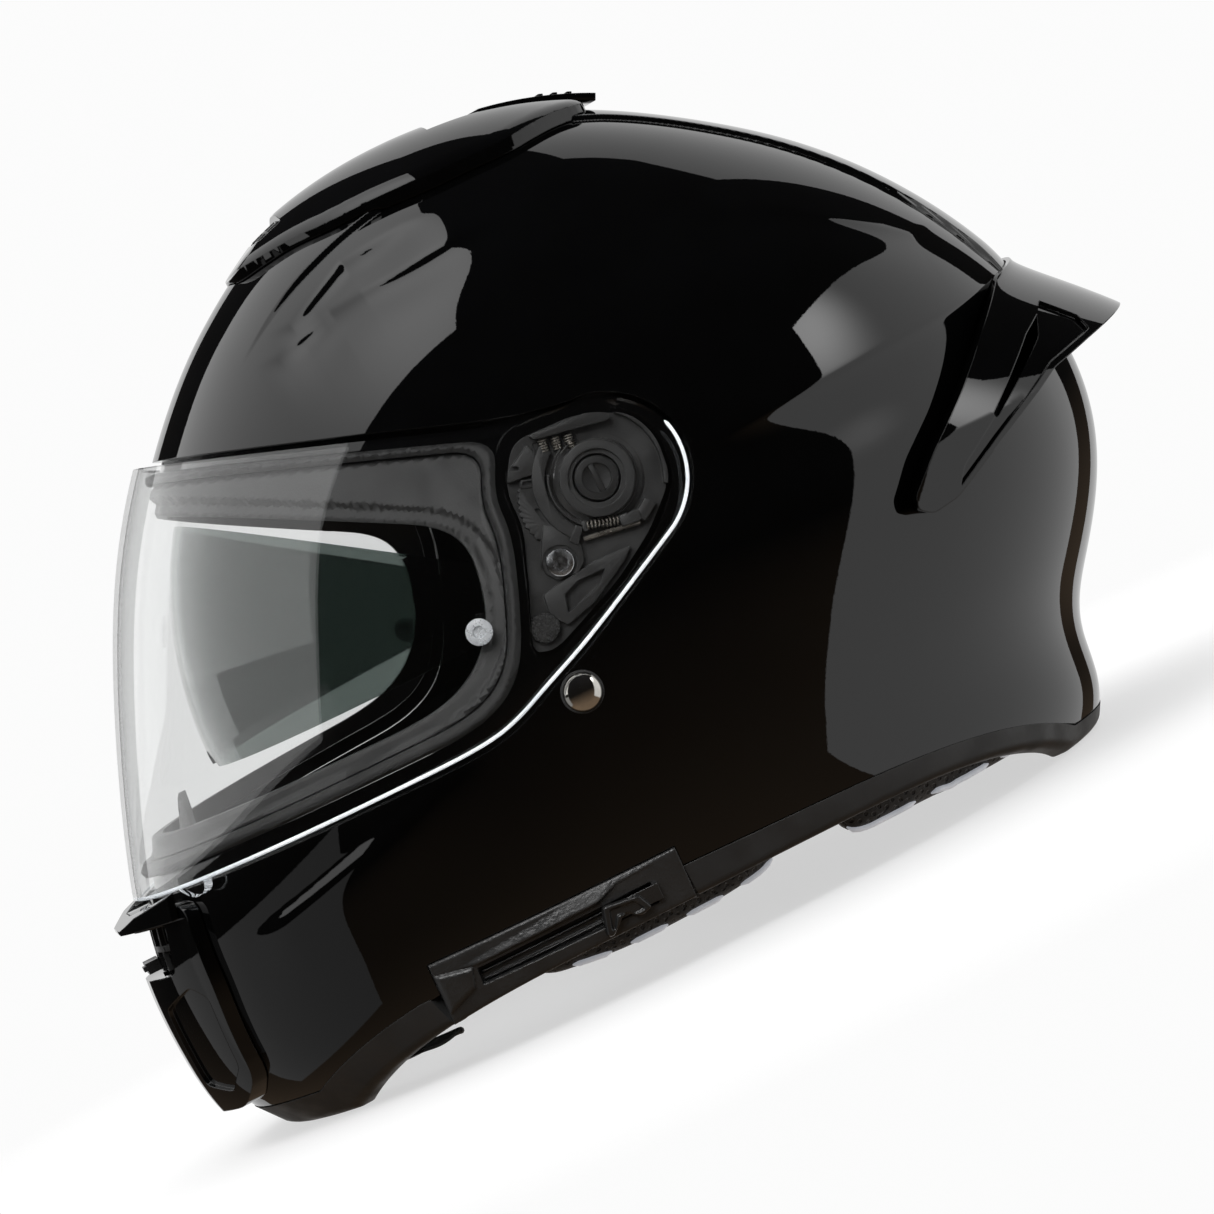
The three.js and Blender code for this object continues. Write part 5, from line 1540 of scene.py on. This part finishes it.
SUNKEN = [  # outline, depth it is cut down to
    ([(-20.0, 149.5), (-15.2, 147.9), (-15.6, 146.9), (-20.6, 148.4)], 113.8),
    ([(-20.3, 140.9), (-16.9, 139.6), (-16.8, 134.4), (-19.3, 136.0)], 113.5),
    ([(-23.4, 114.6), (-18.3, 116.5), (-9.4, 116.2), (-12.8, 112.6), (-24.9, 109.2)], 112.9),
    ([(-12.2, 158.2), (0.6, 154.9), (0.1, 152.6), (-12.4, 155.2)], 112.9),
    ([(-23.0, 156.0), (-19.0, 154.0), (-19.4, 152.9), (-23.4, 154.6)], 113.6),
]
ARCS = [(13.8, 14.5, 150, 262, 115.9), (19.9, 21.3, -30, 52, 115.6), (22.4, 23.4, -44, 34, 115.0),
        (15.2, 19.0, 292, 312, 115.6)]


def build_base_plate():
    plate = prism("x", rounded(grown(POD, -1.4, POD_CENTRE), 5), POD_FLOOR + GAP, FLOOR_TOP)
    for outline, top in RELIEF:
        joined(plate, bake(bevelled(prism("x", rounded(outline, 0.7, 3), FLOOR_TOP - 0.6, top), 0.22)))
    for low, high, start, end, top in ARCS:
        joined(plate, bake(bevelled(prism("x", arc_band(low, high, start, end), FLOOR_TOP - 0.6, top), 0.18)))
    for outline, floor in SUNKEN:
        cut(plate, prism("x", rounded(outline, 0.5, 3), floor, 130))
    hub = drum(HUB_RADIUS, FLOOR_TOP - 0.6, HUB_TOP, PIVOT, 96)
    joined(plate, bake(bevelled(hub, 0.5, 3)))
    cut(plate, drum(7.2, PLATE_TOP - 0.2, 200, PIVOT, 72))
    cut(plate, drum(8.6, HUB_TOP - 1.0, 200, PIVOT, 72))
    cut(plate, drum(3.6, 0, 200, (-20.5, 123.5), 40))
    cut(plate, drum(5.2, 114.4, 200, (-20.5, 123.5), 48))
    kept(plate, prism("x", rounded(grown(POD, -1.2, POD_CENTRE), 5)))
    return shade(plate, angle=30)


def build_mechanism():
    plate = build_base_plate()
    parts = [(plate, "visor_base_plate", "plate", "base_plate")]
    stacks = []
    for y, z in ((-9.7, 156.6), (-6.0, 155.6), (-2.3, 154.7)):
        stacks.append(coil("stack", (114.6, y + 0.4, z + 1.6), (114.6, y - 0.4, z - 2.2), 1.25, 0.28, 5))
    stacks.append(coil("long", (115.2, -8.6, 130.0), (115.2, 0.9, 127.0), 1.3, 0.3, 9))
    for other in stacks[1:]:
        joined(stacks[0], other)
    parts.append((shade(stacks[0], angle=60), "visor_lock_springs", "spring", None))
    pad = drum(4.6, PLATE_TOP + GAP, PLATE_TOP + 1.6, (-33, 108.4), 64)
    parts.append((shade(bake(bevelled(pad, 0.6, 3))), "visor_detent_pad", "flake", "detent_pad"))
    screw = drum(4.2, PLATE_TOP + GAP, PLATE_TOP + 1.8, (-20.5, 123.5), 64)
    screw = bake(bevelled(screw, 0.5, 3))
    cut(screw, drum(2.5, PLATE_TOP + 0.7, 200, (-20.5, 123.5), 6))
    parts.append((shade(screw), "plate_fixing_screw", "steel", "plate_screw"))
    knob = bake(bevelled(drum(6.6, PLATE_TOP + 0.1, HUB_TOP - 0.5, PIVOT, 72), 0.5, 3))
    cut(knob, bake(bevelled(drum(4.4, HUB_TOP - 1.6, HUB_TOP + 3, PIVOT, 64), 0.3)))
    bar = prism("x", [(-0.9, 136.6), (0.9, 136.6), (0.9, 145.4), (-0.9, 145.4)], HUB_TOP - 2.4, HUB_TOP - 0.7)
    joined(knob, bake(bevelled(bar, 0.25)))
    parts.append((shade(knob), "visor_pivot_screw", "satin", "pivot_screw"))
    for piece, name, kind, node in parts:
        twin = mirrored(piece, name)
        for obj, side in ((piece, "left"), (twin, "right")):
            nodes = [f"{node}_{side}"] if node else []
            finish_piece(obj, f"{name}_{side}", kind, instead_of=nodes)


def build_latches():
    arm = bake(bevelled(prism("x", arc_band(15.2, 19, 124, 228), PLATE_TOP + GAP, 115.7), 0.2))
    foot = bake(bevelled(prism("x", arc_band(14.9, 20.2, 220, 228, 6), PLATE_TOP + GAP, 115.9), 0.2))
    joined(arm, foot)
    shade(arm, angle=30)
    twin = mirrored(arm, "latch")
    for obj, side in ((arm, "left"), (twin, "right")):
        finish_piece(obj, f"visor_latch_{side}", "plate", f"latch_{side}", instead_of=[f"latch_arm_{side}"])


def leaning(obj, y, z, reach=4):
    """Turns a piece made about the X axis to lean as the surface does, and sets it on the surface."""
    lean = math.atan2(half_width(y + reach, z) - half_width(y - reach, z), 2 * reach)
    turn = Matrix.Rotation(-lean, 4, "Z")
    obj.data.transform(Matrix.Translation(Vector((half_width(y, z), y, z)) * MM) @ turn)
    return obj


def lathe(name, section, sides=64):
    """A solid turned about the X axis from (x, radius) points that start and end on the axis."""
    points, faces = [(section[0][0], 0, 0), (section[-1][0], 0, 0)], []
    inner = section[1:-1]
    for x, r in inner:
        points += [(x, r * math.cos(2 * math.pi * k / sides), r * math.sin(2 * math.pi * k / sides))
                   for k in range(sides)]
    for i in range(len(inner) - 1):
        for k in range(sides):
            a, b = 2 + i * sides + k, 2 + i * sides + (k + 1) % sides
            faces.append((a, b, b + sides, a + sides))
    last = 2 + (len(inner) - 1) * sides
    faces += [(0, 2 + (k + 1) % sides, 2 + k) for k in range(sides)]
    faces += [(1, last + k, last + (k + 1) % sides) for k in range(sides)]
    return recalculated(new_object(name, points, faces))


def build_fasteners():
    dome_steps = [(0.7 + 3.0 * math.sin(a), 5.9 * math.cos(a)) for a in np.linspace(0, 88 * DEG, 14)]
    rivet = lathe("rivet", [(0.15, 0), (0.15, 5.7), (0.5, 5.9)] + dome_steps + [(3.7, 0)])
    collar = lathe("collar", [(0.05, 0), (0.05, 6.4), (0.35, 6.5), (0.6, 6.3), (0.6, 0)])
    pin = lathe("pin", [(-0.4, 0), (-0.4, 3.6), (-0.1, 4.0), (1.1, 4.0), (1.5, 3.5), (1.5, 1.9),
                        (0.7, 1.6), (0.7, 0)])
    for piece, at, name, kind, body, node in (
        (rivet, (STRAP_Y, 87), "strap_rivet_head", "chrome", ROOT, "strap_rivet"),
        (collar, (STRAP_Y, 87), "rivet_washer", "rubber", ROOT, None),
        (pin, (-51, 116), "insert_pin", "frost", "visor_pane", "antifog_pin"),
    ):
        leaning(piece, *at)
        shade(piece, angle=45)
        twin = mirrored(piece, name)
        for obj, side in ((piece, "left"), (twin, "right")):
            finish_piece(obj, f"{name}_{side}", kind, body, instead_of=[f"{node}_{side}"] if node else [])


# ---- Stage, light and camera ---------------------------------------------------------------
VIEW_CENTRE = Vector((0, -1.2, 99.4)) * MM
VIEW_BACK = Vector((0.9925, -0.1092, 0.0542)).normalized()
VIEW_UP = Vector((0, 0.4446, 0.8957))
VIEW_DISTANCE = 2.2
WHITE = 0.97  # brightness of the ground behind and under the helmet
VIEW_WIDTH = 376.3 * MM
SENSOR = 36


def view_axes():
    right = VIEW_UP.cross(VIEW_BACK).normalized()
    return right, VIEW_BACK.cross(right).normalized(), VIEW_BACK


def build_camera():
    right, up, back = view_axes()
    data = bpy.data.cameras.new("camera")
    data.sensor_width = SENSOR
    data.lens = SENSOR * VIEW_DISTANCE / VIEW_WIDTH
    data.clip_end = 100
    camera = bpy.data.objects.new("camera", data)
    turn = Matrix((right, up, back)).transposed().to_4x4()
    camera.matrix_world = Matrix.Translation(VIEW_CENTRE + back * VIEW_DISTANCE) @ turn
    scene.collection.objects.link(camera)
    scene.camera = camera


CARD_DISTANCE = 3.0


def glowing(name, radiance):
    """A material that only glows, with its tree and its glow."""
    material = bpy.data.materials.new(name)
    material.use_nodes = True
    tree = material.node_tree
    tree.nodes.clear()
    glow = tree.nodes.new("ShaderNodeEmission")
    glow.inputs["Strength"].default_value = radiance
    output = tree.nodes.new("ShaderNodeOutputMaterial")
    tree.links.new(glow.outputs[0], output.inputs[0])
    return material, tree, glow


def card(name, side, across, upward, radiance, hot=None):
    """A glowing studio panel on one side of the helmet, seen in reflections but not by the camera.

    Its edges are given as slopes seen from the helmet: left and right panels by towards-camera and up,
    the back panel by image right and up. hot is (across, up, reach, added radiance).
    """
    right, up, back = view_axes()
    corners = []
    for i, j in ((0, 0), (1, 0), (1, 1), (0, 1)):
        a, u = across[i], upward[j]
        flat = {"left": -right + back * a, "right": right + back * a, "back": -back + right * a}[side]
        corners.append((VIEW_CENTRE + (flat + up * u) * CARD_DISTANCE) / MM)
    panel_object = new_object(name, corners, [(0, 1, 2, 3)])
    material, tree, glow = glowing(name, radiance)
    if hot:
        flat = {"left": -right + back * hot[0], "right": right + back * hot[0], "back": -back}[side]
        centre = VIEW_CENTRE + (flat + up * hot[1]) * CARD_DISTANCE
        place = tree.nodes.new("ShaderNodeTexCoord")
        away = tree.nodes.new("ShaderNodeVectorMath")
        away.operation = "DISTANCE"
        away.inputs[1].default_value = centre
        tree.links.new(place.outputs["Object"], away.inputs[0])
        fade = tree.nodes.new("ShaderNodeMapRange")
        fade.interpolation_type = "SMOOTHERSTEP"
        fade.inputs["From Min"].default_value = 0.0
        fade.inputs["From Max"].default_value = hot[2] * CARD_DISTANCE
        fade.inputs["To Min"].default_value = radiance + hot[3]
        fade.inputs["To Max"].default_value = radiance
        tree.links.new(away.outputs["Value"], fade.inputs["Value"])
        tree.links.new(fade.outputs[0], glow.inputs["Strength"])
    panel_object.data.materials.append(material)
    panel_object.visible_camera = False
    panel_object.visible_shadow = False


def build_world():
    """White to the camera; to everything else dark above and a dim warm floor glow below."""
    world = bpy.data.worlds.new("studio")
    world.use_nodes = True
    tree = world.node_tree
    shown = tree.nodes["Background"]
    shown.inputs[0].default_value = (1, 1, 1, 1)
    shown.inputs[1].default_value = WHITE
    dim = tree.nodes.new("ShaderNodeBackground")
    place = tree.nodes.new("ShaderNodeTexCoord")
    split = tree.nodes.new("ShaderNodeSeparateXYZ")
    tree.links.new(place.outputs["Generated"], split.inputs[0])
    ramp = tree.nodes.new("ShaderNodeValToRGB")
    tree.links.new(split.outputs["Z"], ramp.inputs[0])
    ramp.color_ramp.elements[0].color = (0.012, 0.011, 0.01, 1)
    ramp.color_ramp.elements[1].color = (0.02, 0.02, 0.022, 1)
    lower = tree.nodes.new("ShaderNodeMapRange")
    tree.links.new(split.outputs["Z"], lower.inputs["Value"])
    for socket, value in zip(("From Min", "From Max", "To Min", "To Max"), (-0.7, -0.05, 1.0, 0.0)):
        lower.inputs[socket].default_value = value
    blend = tree.nodes.new("ShaderNodeMix")
    blend.data_type = "RGBA"
    tree.links.new(lower.outputs[0], blend.inputs[0])
    tree.links.new(ramp.outputs[0], blend.inputs[6])
    blend.inputs[7].default_value = (0.2, 0.145, 0.1, 1)
    tree.links.new(blend.outputs[2], dim.inputs[0])
    seen = tree.nodes.new("ShaderNodeLightPath")
    choice = tree.nodes.new("ShaderNodeMixShader")
    tree.links.new(seen.outputs["Is Camera Ray"], choice.inputs[0])
    tree.links.new(dim.outputs[0], choice.inputs[1])
    tree.links.new(shown.outputs[0], choice.inputs[2])
    tree.links.new(choice.outputs[0], tree.nodes["World Output"].inputs[0])
    scene.world = world


def build_backdrop():
    """White behind the helmet, for what is seen through the visor; the camera's side stays dim."""
    right, up, back = view_axes()
    wall_object = new_object("studio_backdrop", [
        Vector(VIEW_CENTRE - back * 4 + right * a * 7 + up * b * 7) / MM
        for a, b in ((-1, -1), (1, -1), (1, 1), (-1, 1))
    ], [(0, 1, 2, 3)])
    wall_object.data.materials.append(glowing("backdrop_white", WHITE)[0])
    for ray in ("camera", "glossy", "diffuse", "shadow"):
        setattr(wall_object, "visible_" + ray, False)


FLOOR_REACH = 900
FLOOR_FADE = (150, 460)  # mm from the helmet's middle: the floor runs out into the white between these
FLOOR_GLOW = 0.62  # share of the floor's white that its shadow doesn't reach


def build_floor():
    """A plain pale floor under the rim, with a light of its own that gives it a soft, faint shadow."""
    floor = new_object("studio_floor", [
        (FLOOR_REACH * math.cos(i * DEG * 3), FLOOR_REACH * math.sin(i * DEG * 3), -0.4) for i in range(120)
    ], [tuple(range(120))])
    look = Look("floor_paper", Roughness=0.9, Specular_IOR_Level=0.1)
    look.colours(2, grey(0.9), grey(0.93))
    glow = look.node("Emission")
    glow.inputs["Strength"].default_value = WHITE
    lit = look.node("MixShader")
    lit.inputs[0].default_value = FLOOR_GLOW
    look.tree.links.new(look.shader.outputs[0], lit.inputs[1])
    look.tree.links.new(glow.outputs[0], lit.inputs[2])
    away = look.node("VectorMath", i0=look.where())
    away.operation = "LENGTH"
    fade = look.ramp(away.outputs["Value"], 0.0, 1.0, FLOOR_FADE[0] * MM, FLOOR_FADE[1] * MM)
    blend = look.node("MixShader", i0=fade)
    look.tree.links.new(lit.outputs[0], blend.inputs[1])
    look.tree.links.new(look.node("BsdfTransparent").outputs[0], blend.inputs[2])
    look.tree.links.new(blend.outputs[0], look.tree.nodes["Material Output"].inputs[0])
    floor.data.materials.append(look.material)
    floor.visible_glossy = False
    floor.visible_diffuse = False
    only_floor = bpy.data.collections.new("floor_only")
    only_floor.objects.link(floor)
    sun = bpy.data.lights.new("floor_light", "SUN")
    sun.energy = 3.1
    sun.angle = 80 * DEG
    lamp = bpy.data.objects.new("floor_light", sun)
    scene.collection.objects.link(lamp)
    lamp.light_linking.receiver_collection = only_floor
    lamp.visible_glossy = False
    return floor


FILL_POWER = 46
FILL_REACH = 2.0


def build_fill():
    """A soft light from above the camera on the plastic, rubber and cloth; the lacquer doesn't take it."""
    right, up, back = view_axes()
    data = bpy.data.lights.new("fill", "AREA")
    data.energy = FILL_POWER
    data.size = 1.1
    lamp = bpy.data.objects.new("fill", data)
    place = VIEW_CENTRE + (back * 0.8 + up * 0.45 - right * 0.4).normalized() * FILL_REACH
    facing = (place - VIEW_CENTRE).to_track_quat("Z", "Y")
    lamp.matrix_world = Matrix.Translation(place) @ facing.to_matrix().to_4x4()
    scene.collection.objects.link(lamp)
    plain = bpy.data.collections.new("plain_pieces")
    polished = [LOOKS[kind] for kind in ("gloss", "clear", "tint", "chrome")]
    for obj in scene.objects:
        if obj.name == "studio_floor":
            continue
        if obj.type == "MESH" and obj.data.materials and obj.data.materials[0] not in polished:
            plain.objects.link(obj)
    lamp.light_linking.receiver_collection = plain


def build_lights():
    card("card_left", "left", (-1.15, 0.75), (-0.25, 2.25), 1.15, hot=(0.45, 1.9, 1.5, 1.1))
    card("card_right", "right", (-1.1, 0.98), (-0.35, 1.5), 0.9, hot=(0.85, 1.35, 0.75, 3.6))
    card("card_back", "back", (-0.42, 0.55), (-0.6, 2.6), 0.75)
    card("card_low_left", "left", (-0.8, 0.8), (-1.6, -0.45), 0.3)


scene.view_settings.view_transform = "Standard"
scene.view_settings.look = "None"
build_camera()
build_world()
build_backdrop()
build_floor()
build_lights()
build_soft_parts()
build_side_covers()
build_sun_slider()
build_deflector()
build_shell()
build_trims()
build_visor()
build_visor_edge()
build_sun_visor()
build_eyeport()
build_top_vent()
build_top_slider()
build_chin_vent()
build_spoiler()
build_mechanism()
build_latches()
build_fasteners()

CARRIED = {  # CAD nodes that are shown as they are, with a material of their own
    "impact_liner": "foam", "chin_liner": "foam",
    "latch_spring_left": "spring", "latch_spring_right": "spring",
    "sun_visor_screw_left": "steel", "sun_visor_screw_right": "steel",
    "strap_anchor_left": "steel", "strap_anchor_right": "steel",
    "chin_vent_slider": "satin", "buckle_body": "satin", "buckle_lever": "satin",
}
for node, kind in CARRIED.items():
    obj = frame["nodes"][node]
    obj.data.materials.clear()
    obj.data.materials.append(look_for(kind))

build_fill()
